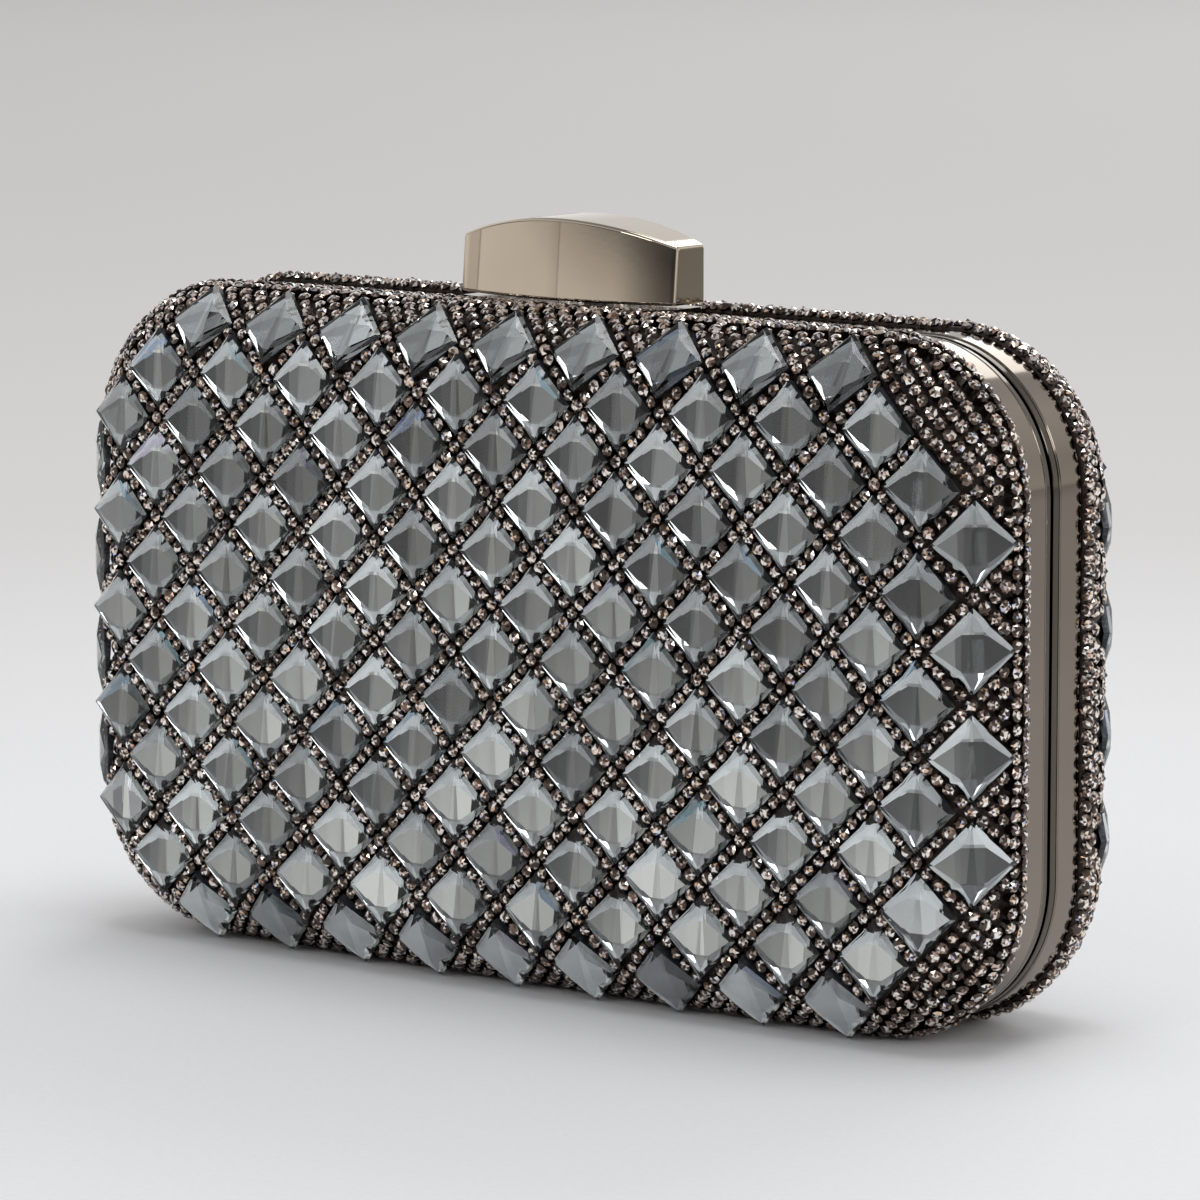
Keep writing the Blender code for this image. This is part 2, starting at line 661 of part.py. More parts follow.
def lever_outline():
    """Side outline (y, z) of the lever: hook, arm, hub round the pivot, stem up into the bar."""
    hook_front = -(CATCH_PLATE_Y + CATCH_THICKNESS + CLEARANCE + HOOK_LENGTH)
    hook_back = hook_front + HOOK_LENGTH
    stem_front = PIVOT_Y - STEM_THICKNESS / 2
    stem_back = PIVOT_Y + STEM_THICKNESS / 2
    stem_top = BAR_BOTTOM_Z + STEM_POCKET_DEPTH - CLEARANCE
    start = pi + asin((PIVOT_Z - LEVER_BOTTOM_Z) / PIVOT_HUB_RADIUS)
    end = 2 * pi + acos(STEM_THICKNESS / 2 / PIVOT_HUB_RADIUS)
    hub = []
    for step in range(SMALL_ROUND_SEGMENTS + 1):
        angle = start + (end - start) * step / SMALL_ROUND_SEGMENTS
        hub.append((PIVOT_Y + PIVOT_HUB_RADIUS * cos(angle), PIVOT_Z + PIVOT_HUB_RADIUS * sin(angle)))
    return [
        (hook_front, LEVER_BOTTOM_Z - HOOK_DROP),
        (hook_back, LEVER_BOTTOM_Z - HOOK_DROP),
        (hook_back, LEVER_BOTTOM_Z),
        *hub,
        (stem_back, stem_top),
        (stem_front, stem_top),
        (stem_front, LEVER_TOP_Z),
        (hook_front, LEVER_TOP_Z),
    ]


def latch_lever():
    """The lever, as wide as the passage lets it be, with its bore for the pivot."""
    half = LEVER_WIDTH / 2
    curve = closed_curve("latch_lever_outline", lever_outline())
    curve.data.fill_mode = "BOTH"
    curve.data.extrude = half
    curve.rotation_euler = (radians(90), 0.0, radians(90))
    lever = to_mesh_object("latch_lever", curve, STEEL)
    cut(lever, cylinder("latch_lever_bore", PIVOT_BORE_RADIUS, (-half - OVERRUN, PIVOT_Y, PIVOT_Z),
                        (half + OVERRUN, PIVOT_Y, PIVOT_Z)))
    return lever


def bracket_ear_x():
    """Inner face of the bracket's ears: room for the lever and for the spring beside it."""
    return LEVER_WIDTH / 2 + CLEARANCE * 2 + SPRING_PITCH * SPRING_TURNS + SPRING_WIRE_RADIUS * 2


def latch_bracket():
    """A plate under the frame with two ears that carry the pivot."""
    high_z = WEB_TOP_Z - CLEARANCE
    low_z = high_z - BRACKET_THICKNESS
    half = BRACKET_WIDTH / 2
    bracket = box("latch_bracket", (-half, BRACKET_FRONT_Y, low_z), (half, BRACKET_BACK_Y, high_z), STEEL)
    ear_low = PIVOT_Z - PIVOT_HUB_RADIUS
    for number, sign in enumerate((-1, 1)):
        inner = sign * bracket_ear_x()
        outer = sign * (bracket_ear_x() + BRACKET_EAR_THICKNESS)
        low_x, high_x = sorted((inner, outer))
        join(bracket, box(f"latch_bracket_ear_{number}", (low_x, PIVOT_Y - PIVOT_HUB_RADIUS, ear_low),
                          (high_x, PIVOT_Y + PIVOT_HUB_RADIUS, low_z + BRACKET_THICKNESS / 2)))
    cut(bracket, stem_slot("latch_bracket_slot", low_z - OVERRUN, high_z + OVERRUN))
    cut(bracket, cylinder("latch_bracket_bore", PIVOT_BORE_RADIUS, (-half, PIVOT_Y, PIVOT_Z),
                          (half, PIVOT_Y, PIVOT_Z)))
    for number, x in enumerate((-BRACKET_SCREW_SPREAD, BRACKET_SCREW_SPREAD)):
        cut(bracket, screw_hole(f"latch_bracket_hole_{number}", x, low_z - OVERRUN, high_z + OVERRUN))
    return bracket


def latch_pivot():
    """The pivot pin, with a head outside each ear."""
    reach = bracket_ear_x() + BRACKET_EAR_THICKNESS + CLEARANCE
    pin = cylinder("latch_pivot", PIVOT_PIN_RADIUS, (-reach - PIN_HEAD_LENGTH / 2, PIVOT_Y, PIVOT_Z),
                   (reach + PIN_HEAD_LENGTH / 2, PIVOT_Y, PIVOT_Z), ROUND_SEGMENTS, STEEL)
    for number, sign in enumerate((-1, 1)):
        join(pin, cylinder(f"latch_pivot_head_{number}", PIVOT_BORE_RADIUS + CLEARANCE,
                           (sign * reach, PIVOT_Y, PIVOT_Z),
                           (sign * (reach + PIN_HEAD_LENGTH), PIVOT_Y, PIVOT_Z)))
    return pin


def latch_spring():
    """A torsion spring beside the lever: one leg hooked over the arm, two turns, one leg back."""
    start_x = -(LEVER_WIDTH / 2 + CLEARANCE + SPRING_WIRE_RADIUS)
    leg_y = PIVOT_Y - SPRING_LEG
    leg_z = PIVOT_Z + SPRING_COIL_RADIUS
    points = [Vector((start_x + SPRING_HOOK, leg_y, leg_z)), Vector((start_x, leg_y, leg_z))]
    for step in range(SPRING_TURNS * SPRING_POINTS_PER_TURN + 1):
        turn = step / SPRING_POINTS_PER_TURN
        angle = pi / 2 - turn * 2 * pi
        points.append(Vector((start_x - SPRING_PITCH * turn,
                              PIVOT_Y + SPRING_COIL_RADIUS * cos(angle),
                              PIVOT_Z + SPRING_COIL_RADIUS * sin(angle))))
    points.append(points[-1] + Vector((0.0, SPRING_LEG, 0.0)))
    least = min((one - other).length for number, one in enumerate(points)
                for other in points[number + SPRING_POINTS_PER_TURN // 2:])
    print("latch spring: least gap to itself", round((least - 2 * SPRING_WIRE_RADIUS) / MM, 2), "mm")
    data = bpy.data.curves.new("latch_spring_wire", "CURVE")
    data.dimensions = "3D"
    data.bevel_depth = SPRING_WIRE_RADIUS
    data.bevel_resolution = 1
    data.use_fill_caps = True
    spline = data.splines.new("POLY")
    spline.points.add(len(points) - 1)
    for place, point in zip(spline.points, points):
        place.co = (*point, 1.0)
    wire = bpy.data.objects.new("latch_spring_wire", data)
    PIECES.objects.link(wire)
    return to_mesh_object("latch_spring", wire, STEEL)


def catch_plate():
    """An upright plate behind the front strip: the hook drops over the sill of its notch."""
    high_z = WEB_TOP_Z - CLEARANCE
    low_z = high_z - CATCH_HEIGHT
    half = CATCH_WIDTH / 2
    front_y = -(CATCH_PLATE_Y + CATCH_THICKNESS)
    plate = box("catch_plate", (-half, front_y, low_z), (half, -CATCH_PLATE_Y, high_z), STEEL)
    for number, x in enumerate(catch_rivet_places()):
        join(plate, box(f"catch_plate_tab_{number}",
                        (x - CATCH_TAB_WIDTH / 2, front_y - CATCH_TAB_LENGTH, high_z - CATCH_THICKNESS),
                        (x + CATCH_TAB_WIDTH / 2, front_y + CATCH_THICKNESS / 2, high_z)))
    sill_z = LEVER_BOTTOM_Z - HOOK_DROP + CATCH_ENGAGEMENT
    notch = LEVER_WIDTH / 2 + CLEARANCE * 2
    cut(plate, box("catch_plate_notch", (-notch, front_y - OVERRUN, sill_z),
                   (notch, OVERRUN - CATCH_PLATE_Y, high_z + OVERRUN)))
    for number, x in enumerate(catch_rivet_places()):
        cut(plate, cylinder(f"catch_plate_hole_{number}", RIVET_RADIUS + CLEARANCE,
                            (x, catch_rivet_y(), low_z), (x, catch_rivet_y(), high_z + OVERRUN),
                            SMALL_ROUND_SEGMENTS))
    return plate


def catch_rivet_places():
    place = (CATCH_WIDTH - CATCH_TAB_WIDTH) / 2
    return [-place, place]


def catch_rivet_y():
    return -(CATCH_PLATE_Y + CATCH_THICKNESS + CATCH_TAB_LENGTH / 2)


def catch_rivets():
    rivets = []
    face = WEB_TOP_Z - CLEARANCE - CATCH_THICKNESS - CLEARANCE
    for number, x in enumerate(catch_rivet_places()):
        rivets.append(fastener(f"catch_rivet_{number + 1}", RIVET_RADIUS, RIVET_HEAD_RADIUS,
                               RIVET_HEAD_HEIGHT, (x, catch_rivet_y(), RING_TOP_Z),
                               face, face - RIVET_HEAD_HEIGHT, STEEL))
    return rivets


def bracket_screws():
    """Slotted screws up through the bracket and the frame into the clasp's base."""
    screws = []
    face = WEB_TOP_Z - CLEARANCE - BRACKET_THICKNESS - CLEARANCE
    for number, x in enumerate((-BRACKET_SCREW_SPREAD, BRACKET_SCREW_SPREAD)):
        name = f"clasp_screw_{number + 1}"
        screw = fastener(name, SCREW_RADIUS, SCREW_HEAD_RADIUS, SCREW_HEAD_HEIGHT,
                         (x, PIVOT_Y, BASE_TOP_Z - CLEARANCE), face, face - SCREW_HEAD_HEIGHT, STEEL)
        low_z = face - SCREW_HEAD_HEIGHT
        half = SCREW_HEAD_RADIUS + CLEARANCE
        cut(screw, box(name + "_slot", (x - half, PIVOT_Y - SCREW_SLOT_WIDTH / 2, low_z - OVERRUN),
                       (x + half, PIVOT_Y + SCREW_SLOT_WIDTH / 2, low_z + SCREW_SLOT_DEPTH)))
        screws.append(screw)
    return screws


def latch_room_front(frame, shell, lining):
    """Clear the front half round the hook, the catch and its rivets."""
    passage = LEVER_WIDTH / 2 + CLEARANCE * 2
    cut(frame, box("front_frame_hook_notch", (-passage, -FLANGE_BACK - CLEARANCE, WEB_TOP_Z - FLANGE_DEPTH),
                   (passage, OVERRUN, WEB_TOP_Z + LEAF_POCKET)))
    for number, x in enumerate(catch_rivet_places()):
        cut(frame, cylinder(f"front_frame_catch_hole_{number}", RIVET_RADIUS + CLEARANCE,
                            (x, catch_rivet_y(), WEB_TOP_Z - OVERRUN),
                            (x, catch_rivet_y(), RING_TOP_Z + OVERRUN),
                            SMALL_ROUND_SEGMENTS))
    half = CATCH_WIDTH / 2 + CLEARANCE
    back = CATCH_PLATE_Y + CATCH_THICKNESS + CATCH_TAB_LENGTH + CLEARANCE
    room = box("front_latch_room", (-half, -back, WEB_TOP_Z - CATCH_HEIGHT - CLEARANCE * 2),
               (half, OVERRUN, RING_TOP_Z - STRIP_THICKNESS))
    cut(shell, room)
    cut(lining, room)


def latch_room_rear(frame, shell, lining):
    """Clear the rear half round the lever, its bracket and the screws."""
    passage = LEVER_WIDTH / 2 + CLEARANCE * 2
    cut(frame, box("rear_frame_hook_notch", (-passage, -OVERRUN, WEB_TOP_Z - FLANGE_DEPTH),
                   (passage, FLANGE_BACK + CLEARANCE, WEB_TOP_Z + LEAF_POCKET)))
    cut(frame, stem_slot("rear_frame_slot", WEB_TOP_Z - OVERRUN, RING_TOP_Z + OVERRUN))
    for number, x in enumerate((-BRACKET_SCREW_SPREAD, BRACKET_SCREW_SPREAD)):
        cut(frame, screw_hole(f"rear_frame_hole_{number}", x, WEB_TOP_Z - OVERRUN, RING_TOP_Z + OVERRUN))
    half = BRACKET_WIDTH / 2 + CLEARANCE
    back = BRACKET_BACK_Y + CLEARANCE
    low_z = PIVOT_Z - PIVOT_HUB_RADIUS - CLEARANCE * 2
    room = box("rear_latch_room", (-half, -OVERRUN, low_z), (half, back, RING_TOP_Z - STRIP_THICKNESS))
    cut(shell, room)
    cut(lining, room)


def empty(name, place):
    carrier = bpy.data.objects.new(name, None)
    carrier.empty_display_size = HINGE_LENGTH
    carrier.location = place
    PIECES.objects.link(carrier)
    return carrier


def hang(pieces, carrier):
    """Parent pieces modelled in world space to an empty on their joint's axis."""
    for piece in pieces:
        piece.parent = carrier
        piece.location = piece.location - carrier.location


def build():
    front_half = []
    rear_half = []
    halves = {FRONT: front_half, REAR: rear_half}
    bodies = {}
    for side, half_name in ((FRONT, "front"), (REAR, "rear")):
        frame = frame_half(f"{half_name}_frame", side)
        shell = body_layer(f"{half_name}_shell", side, SHELL_OFFSET, SHELL_THICKNESS,
                           FLANGE_BACK + CLEARANCE, SHELL_EDGE_STEPS, MOULDED)
        lining = body_layer(f"{half_name}_lining", side, LINING_OFFSET, LINING_THICKNESS,
                            LINING_RIM, SHELL_EDGE_STEPS, SATIN)
        crystals = crystal_sheet(f"{half_name}_crystals", side)
        bodies[side] = (frame, shell, lining)
        halves[side] += [frame, shell, lining, crystals]
    for side_name, centre in (("left", -HINGE_X), ("right", HINGE_X)):
        for side, half_name in ((FRONT, "front"), (REAR, "rear")):
            frame, shell, lining = bodies[side]
            hinge_room(frame, centre, side)
            shell_hinge_notch(shell, centre, side)
            halves[side].append(hinge_leaf(f"hinge_leaf_{side_name}_{half_name}", centre, side))
            halves[side] += hinge_rivets(side_name, half_name, centre, side)
        rear_half.append(hinge_pin(f"hinge_pin_{side_name}", centre))
    latch_room_front(*bodies[FRONT])
    latch_room_rear(*bodies[REAR])
    front_half += [catch_plate(), *catch_rivets()]
    rear_half += [clasp_base(), latch_bracket(), latch_pivot(), *bracket_screws()]
    latch = [clasp_bar(), latch_lever(), latch_spring()]
    hang(rear_half, empty("rear_half_origin", (0.0, 0.0, 0.0)))
    hang(front_half, empty("front_half_axis", (0.0, 0.0, HINGE_AXIS_Z)))
    hang(latch, empty("latch_axis", (0.0, PIVOT_Y, PIVOT_Z)))


build()
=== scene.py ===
"""Crystal clutch bag: stones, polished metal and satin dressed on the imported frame.

The bag stands on its long edge. X runs along it, the front faces -Y and +Z is up.
All lengths are in metres. The frame's nodes give the places; every piece rides on
the body that carries it.
"""

import random
from itertools import product
from math import cos, hypot, pi, radians, sin, sqrt

import bmesh
import bpy
from bpy.props import FloatProperty, FloatVectorProperty, IntProperty, PointerProperty
from bpy.types import Operator, Panel, PropertyGroup
from mathutils import Matrix, Vector, noise


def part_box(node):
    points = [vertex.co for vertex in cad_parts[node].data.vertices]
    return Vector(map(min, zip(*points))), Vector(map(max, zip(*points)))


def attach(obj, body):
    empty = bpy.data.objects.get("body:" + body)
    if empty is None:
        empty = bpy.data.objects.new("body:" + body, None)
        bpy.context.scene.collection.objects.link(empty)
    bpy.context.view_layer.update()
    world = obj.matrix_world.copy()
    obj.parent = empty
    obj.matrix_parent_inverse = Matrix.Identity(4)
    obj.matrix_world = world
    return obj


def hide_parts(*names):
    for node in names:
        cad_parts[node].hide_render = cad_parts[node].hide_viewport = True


bl_info = {
    "name": "Crystal Clutch Bag",
    "version": (1, 0, 0),
    "blender": (4, 5, 0),
    "location": "View3D > Sidebar > Clutch",
    "description": "Builds the stones, metal strips, clasp and lining of a hard evening clutch",
    "category": "Object",
}

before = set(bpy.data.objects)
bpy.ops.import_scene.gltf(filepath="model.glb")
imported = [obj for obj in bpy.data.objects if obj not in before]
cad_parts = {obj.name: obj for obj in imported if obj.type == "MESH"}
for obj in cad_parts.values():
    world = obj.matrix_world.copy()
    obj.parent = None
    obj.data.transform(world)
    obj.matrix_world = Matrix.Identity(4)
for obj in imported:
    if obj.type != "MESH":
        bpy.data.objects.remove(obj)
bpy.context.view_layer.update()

MM = 0.001

# The ring of the frame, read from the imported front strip
RING_LOW, RING_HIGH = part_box("front_frame")
RING_HALF_WIDTH = (RING_HIGH.x - RING_LOW.x) / 2
RING_HALF_HEIGHT = (RING_HIGH.z - RING_LOW.z) / 2
RING_CENTRE_Z = (RING_HIGH.z + RING_LOW.z) / 2
RING_CORNER_RADIUS = 25.5 * MM
RING_STEPS = 32
STRAIGHT_X = RING_HALF_WIDTH - RING_CORNER_RADIUS
STRAIGHT_Z = RING_HALF_HEIGHT - RING_CORNER_RADIUS
STRIP_WIDTH = -RING_LOW.y
STRIP_THICKNESS = 1.2 * MM

# Surface that the stones are glued on
GLUE_OVERHANG = 0.3 * MM
CROWN_DEPTH = 23.5 * MM
SIDE_EDGE_RADIUS = 12.5 * MM
TOP_EDGE_RADIUS = 11.7 * MM
SIDE_CROWN_DROP = 2.4 * MM
TOP_CROWN_DROP = 2.35 * MM
RIM = STRIP_WIDTH + 0.3 * MM

# Lattice of the square crystals: stones in each row, counted from the middle row
LATTICE_PITCH = 17.1 * MM
LATTICE_ROWS = {0: 11, 1: 12, 2: 11, 3: 12, 4: 11, 5: 10, 6: 9}

# Heights of a small stone's widest line and of its table's edge over the glued surface
STONE_GIRDLE = 0.85 * MM
STONE_CROWN = 1.25 * MM

# Plan of the clasp bar: depth of both faces at its ends, and how far each bows out
CLASP_END_DEPTH = 4.1 * MM
CLASP_FRONT_BOW = 4.1 * MM
CLASP_REAR_BOW = 2.4 * MM

CRYSTAL_SEED = 11
RHINESTONE_SEED = 23

FRONT = -1
REAR = 1
HALVES = ((FRONT, "front"), (REAR, "rear"))


# Body surface

def body_point(u, v, offset):
    """Point of the front body at the flat-sheet place (u, v), raised by the offset."""
    half_width = RING_HALF_WIDTH + GLUE_OVERHANG
    half_height = RING_HALF_HEIGHT + GLUE_OVERHANG
    corner = RING_CORNER_RADIUS + GLUE_OVERHANG
    straight_x = half_width - corner
    straight_z = half_height - corner
    past_x = max(abs(u) - straight_x, 0.0)
    past_z = max(abs(v) - straight_z, 0.0)
    past = hypot(past_x, past_z)
    x = min(abs(u), straight_x)
    z = min(abs(v), straight_z)
    toward_x = past_x / past if past else 0.0
    toward_z = past_z / past if past else 0.0
    turn = 0.0
    drop = 0.0
    if past:
        reach = 1 / hypot(toward_x / (corner - SIDE_EDGE_RADIUS),
                          toward_z / (corner - TOP_EDGE_RADIUS))
        radius = corner - reach
        along = max(past - reach, 0.0)
        turn = min(along / radius, pi / 2)
        flat = min(past, reach) + radius * sin(turn)
        x += toward_x * flat
        z += toward_z * flat
        drop = radius * (1 - cos(turn)) + along - turn * radius
    drop += SIDE_CROWN_DROP * (x / half_width) ** 2 + TOP_CROWN_DROP * (z / half_height) ** 2
    x += offset * toward_x * sin(turn)
    z += offset * toward_z * sin(turn)
    y = -CROWN_DEPTH + drop - offset * cos(turn)
    return Vector((x if u >= 0 else -x, y, z if v >= 0 else -z))


def half_point(u, v, offset, side):
    """World point of one half's surface."""
    point = body_point(u, v, offset)
    return Vector((point.x, -side * point.y, point.z + RING_CENTRE_Z))


def surface_frame(u, v, side):
    """Foot, tangent along the bag, tangent up it and outward normal of one half's surface."""
    step = 0.3 * MM
    level = 0.3
    foot = half_point(u, v, 0.0, side)
    normal = (half_point(u, v, 1 * MM, side) - foot).normalized()
    along = (half_point(u + step, v, 0.0, side) - half_point(u - step, v, 0.0, side)).normalized()
    up = normal.cross(along).normalized()
    if up.z < -level:
        up.negate()
    along = up.cross(normal).normalized()
    return foot, along, up, normal


def sheet_lines(half_size, edge_radius, crown_steps, edge_steps):
    """Grid lines of the flat sheet: the crown, round the edge, then the wall to the rim."""
    corner_steps = 4
    straight_end = half_size - RING_CORNER_RADIUS
    crown_end = half_size + GLUE_OVERHANG - edge_radius
    lines = [straight_end * step / crown_steps for step in range(crown_steps + 1)]
    lines += [straight_end + (crown_end - straight_end) * step / corner_steps
              for step in range(1, corner_steps)]
    lines += [crown_end + edge_radius * step / edge_steps * pi / 2
              for step in range(edge_steps + 1)]
    wall = CROWN_DEPTH - edge_radius
    lines += [lines[-1] + wall / 2, lines[-1] + wall]
    return [-line for line in reversed(lines[1:])] + lines


def wrapped_sheet(side, steps, offset, rim):
    """Open sheet over one half at the depth that offset(u, v) gives, cut off at its rim."""
    crown_x, crown_z, edge_steps = steps
    lines_x = sheet_lines(RING_HALF_WIDTH, SIDE_EDGE_RADIUS, crown_x, edge_steps)
    lines_z = sheet_lines(RING_HALF_HEIGHT, TOP_EDGE_RADIUS, crown_z, edge_steps)
    bm = bmesh.new()
    bmesh.ops.create_grid(bm, x_segments=len(lines_x) - 1, y_segments=len(lines_z) - 1, size=1.0)
    for vert in bm.verts:
        u = lines_x[round((vert.co.x + 1) / 2 * (len(lines_x) - 1))]
        v = lines_z[round((vert.co.y + 1) / 2 * (len(lines_z) - 1))]
        vert.co = half_point(u, v, offset(u, v), side)
    bmesh.ops.bisect_plane(bm, geom=bm.verts[:] + bm.edges[:] + bm.faces[:],
                           plane_co=(0, side * rim, 0), plane_no=(0, -side, 0), clear_outer=True)
    bm.normal_update()
    crown = max(bm.faces, key=lambda face: side * face.calc_center_median().y)
    if crown.normal.y * side < 0:
        bmesh.ops.reverse_faces(bm, faces=bm.faces)
    return bm


# Mesh helpers

def only(parts, kind):
    return [part for part in parts if isinstance(part, kind)]


def as_mesh(bm, name):
    mesh = bpy.data.meshes.new(name)
    bm.to_mesh(mesh)
    bm.free()
    return mesh


def finish_mesh(bm, name, materials, smooth_angle=None):
    """Object at the origin from a bmesh, with its materials and its smoothing."""
    mesh = as_mesh(bm, name)
    for material in materials:
        mesh.materials.append(material)
    if smooth_angle is not None:
        mesh.shade_smooth()
        mesh.set_sharp_from_angle(angle=radians(smooth_angle))
    piece = bpy.data.objects.new(name, mesh)
    bpy.context.scene.collection.objects.link(piece)
    return piece


def outwards(bm):
    """Turn a closed shape's faces out."""
    if bm.calc_volume(signed=True) < 0:
        bmesh.ops.reverse_faces(bm, faces=bm.faces)


def add_box(bm, low, high):
    middle = (Vector(low) + Vector(high)) / 2
    size = Vector(high) - Vector(low)
    place = Matrix.Translation(middle) @ Matrix.Diagonal((*size, 1.0))
    bmesh.ops.create_cube(bm, size=1.0, matrix=place)


def add_rod(bm, start, end, radius):
    axis = Vector(end) - Vector(start)
    turn = axis.to_track_quat("Z", "Y").to_matrix().to_4x4()
    place = Matrix.Translation((Vector(start) + Vector(end)) / 2) @ turn
    bmesh.ops.create_cone(bm, cap_ends=True, segments=24, radius1=radius, radius2=radius,
                          depth=axis.length, matrix=place)


def carve(piece, cutter_bm):
    """Cut a shape of closed bodies out of a piece, and keep the result as its mesh."""
    cutter = finish_mesh(cutter_bm, piece.name + "_cutter", [])
    modifier = piece.modifiers.new("carve", "BOOLEAN")
    modifier.operation = "DIFFERENCE"
    modifier.solver = "EXACT"
    modifier.use_self = True
    modifier.object = cutter
    bpy.context.view_layer.update()
    graph = bpy.context.evaluated_depsgraph_get()
    carved = bpy.data.meshes.new_from_object(piece.evaluated_get(graph))
    piece.modifiers.clear()
    piece.data = carved
    bpy.data.objects.remove(cutter)


def thicken(piece, thickness, even=False):
    """Give an open sheet its thickness, inwards."""
    wall = piece.modifiers.new("thickness", "SOLIDIFY")
    wall.thickness = thickness
    wall.offset = -1.0
    wall.use_even_offset = even


def settle_normals(piece, angle):
    """Smooth the bevels and keep the wide faces between them flat."""
    piece.data.shade_smooth()
    piece.data.set_sharp_from_angle(angle=radians(angle))
    weights = piece.modifiers.new("weights", "WEIGHTED_NORMAL")
    weights.keep_sharp = True


# Material helpers

def new_surface(name):
    """A material with its tree and its Principled BSDF."""
    material = bpy.data.materials.new(name)
    material.use_nodes = True
    tree = material.node_tree
    return material, tree, tree.nodes["Principled BSDF"]


def shade_of(colour, share):
    """A colour at a share of its strength, white at most."""
    return [min(part * share, 1.0) for part in colour]


def set_inputs(node, **values):
    for label, value in values.items():
        node.inputs[label.replace("_", " ")].default_value = value


def object_noise(tree, scale, detail=2.0, roughness=0.5):
    place = tree.nodes.new("ShaderNodeTexCoord")
    texture = tree.nodes.new("ShaderNodeTexNoise")
    set_inputs(texture, Scale=scale, Detail=detail, Roughness=roughness)
    tree.links.new(place.outputs["Object"], texture.inputs["Vector"])
    return texture.outputs["Fac"]


def face_value(tree):
    """The value that each face of the stones carries: a random tone, painted glints and painted
    reflection bands.
    """
    value = tree.nodes.new("ShaderNodeAttribute")
    value.attribute_name = "tone_and_painted_light"
    return value.outputs["Fac"]


def ramp(tree, source, stops):
    """Colour ramp from (place, colour) stops."""
    node = tree.nodes.new("ShaderNodeValToRGB")
    elements = node.color_ramp.elements
    while len(elements) < len(stops):
        elements.new(0.5)
    for element, (place, colour) in zip(elements, stops):
        element.position = place
        element.color = (*colour, 1.0)
    tree.links.new(source, node.inputs["Fac"])
    return node.outputs["Color"]


def remap(tree, source, interpolation="LINEAR", **limits):
    """Map a value between the limits, which are named like the node's inputs."""
    node = tree.nodes.new("ShaderNodeMapRange")
    node.interpolation_type = interpolation
    set_inputs(node, **limits)
    tree.links.new(source, node.inputs["Value"])
    return node.outputs["Result"]


def multiply(tree, colour, tint, share=None):
    """Multiply a colour by a tint, wholly or by the share that a socket gives."""
    node = tree.nodes.new("ShaderNodeMix")
    node.data_type = "RGBA"
    node.blend_type = "MULTIPLY"
    if share is None:
        node.inputs["Factor"].default_value = 1.0
    else:
        tree.links.new(share, node.inputs["Factor"])
    tree.links.new(colour, node.inputs["A"])
    tree.links.new(tint, node.inputs["B"])
    return node.outputs["Result"]


def paint(tree, shader, source, stops):
    """Drive the base colour with a colour ramp."""
    tree.links.new(ramp(tree, source, stops), shader.inputs["Base Color"])


def blur(tree, shader, source, low, high):
    """Drive the roughness between two values."""
    tree.links.new(remap(tree, source, To_Min=low, To_Max=high), shader.inputs["Roughness"])


def bump(tree, shader, height, strength, distance):
    node = tree.nodes.new("ShaderNodeBump")
    set_inputs(node, Strength=strength, Distance=distance)
    tree.links.new(height, node.inputs["Height"])
    tree.links.new(node.outputs["Normal"], shader.inputs["Normal"])


def polished_metal(name, colour, roughness):
    """Polished champagne nickel with faint hairlines and smudges."""
    material, tree, shader = new_surface(name)
    set_inputs(shader, Metallic=1.0)
    smudge = object_noise(tree, 60.0, 4.0)
    paint(tree, shader, smudge, [(0.3, shade_of(colour, 0.94)), (0.7, colour)])
    blur(tree, shader, smudge, roughness * 0.7, roughness * 1.5)
    bump(tree, shader, object_noise(tree, 900.0, 3.0), 0.05, 0.02 * MM)
    return material


def plated_steel(colour):
    """Zinc-plated steel of the fittings, slightly mottled."""
    material, tree, shader = new_surface("plated_steel")
    set_inputs(shader, Metallic=1.0)
    mottle = object_noise(tree, 700.0, 4.0, 0.6)
    paint(tree, shader, mottle, [(0.35, shade_of(colour, 0.8)), (0.65, colour)])
    blur(tree, shader, mottle, 0.24, 0.42)
    bump(tree, shader, mottle, 0.1, 0.02 * MM)
    return material


def moulded_black(colour):
    """Moulded panel with a fine spark-eroded grain."""
    material, tree, shader = new_surface("moulded_black")
    grain = object_noise(tree, 2500.0, 2.0, 0.7)
    paint(tree, shader, grain, [(0.3, shade_of(colour, 0.7)), (0.7, shade_of(colour, 1.3))])
    set_inputs(shader, Roughness=0.5)
    bump(tree, shader, grain, 0.3, 0.05 * MM)
    return material


def glue_bed(name, colour):
    """Dark resin that the stones are set in; the crystals' dark side walls use it too."""
    material, tree, shader = new_surface(name)
    lumps = object_noise(tree, 1200.0, 3.0, 0.6)
    paint(tree, shader, lumps, [(0.35, shade_of(colour, 0.5)), (0.7, shade_of(colour, 1.8))])
    set_inputs(shader, Metallic=0.6, Roughness=0.38)
    bump(tree, shader, lumps, 0.6, 0.2 * MM)
    return material


def rhinestone_glass(dark, painted_glint):
    """Small stones: dark facets, with painted glints in champagne and white on some, and painted
    rainbow glints in amber and blue on a few.
    """
    white = (1.0, 0.97, 0.94)
    amber = (0.90, 0.55, 0.28)
    blue = (0.50, 0.62, 0.95)
    material, tree, shader = new_surface("rhinestone_glass")
    # Low values keep the dark facets' own tone; high values are painted glints in champagne, white,
    # amber and blue.
    paint(tree, shader, face_value(tree), [
        (0.0, shade_of(dark, 0.45)), (0.55, dark), (0.68, shade_of(dark, 6.0)), (0.76, painted_glint),
        (0.86, white), (0.95, white), (0.97, amber), (1.0, blue)])
    set_inputs(shader, Metallic=0.85, Roughness=0.1, Coat_Weight=0.6, Coat_Roughness=0.04)
    return material


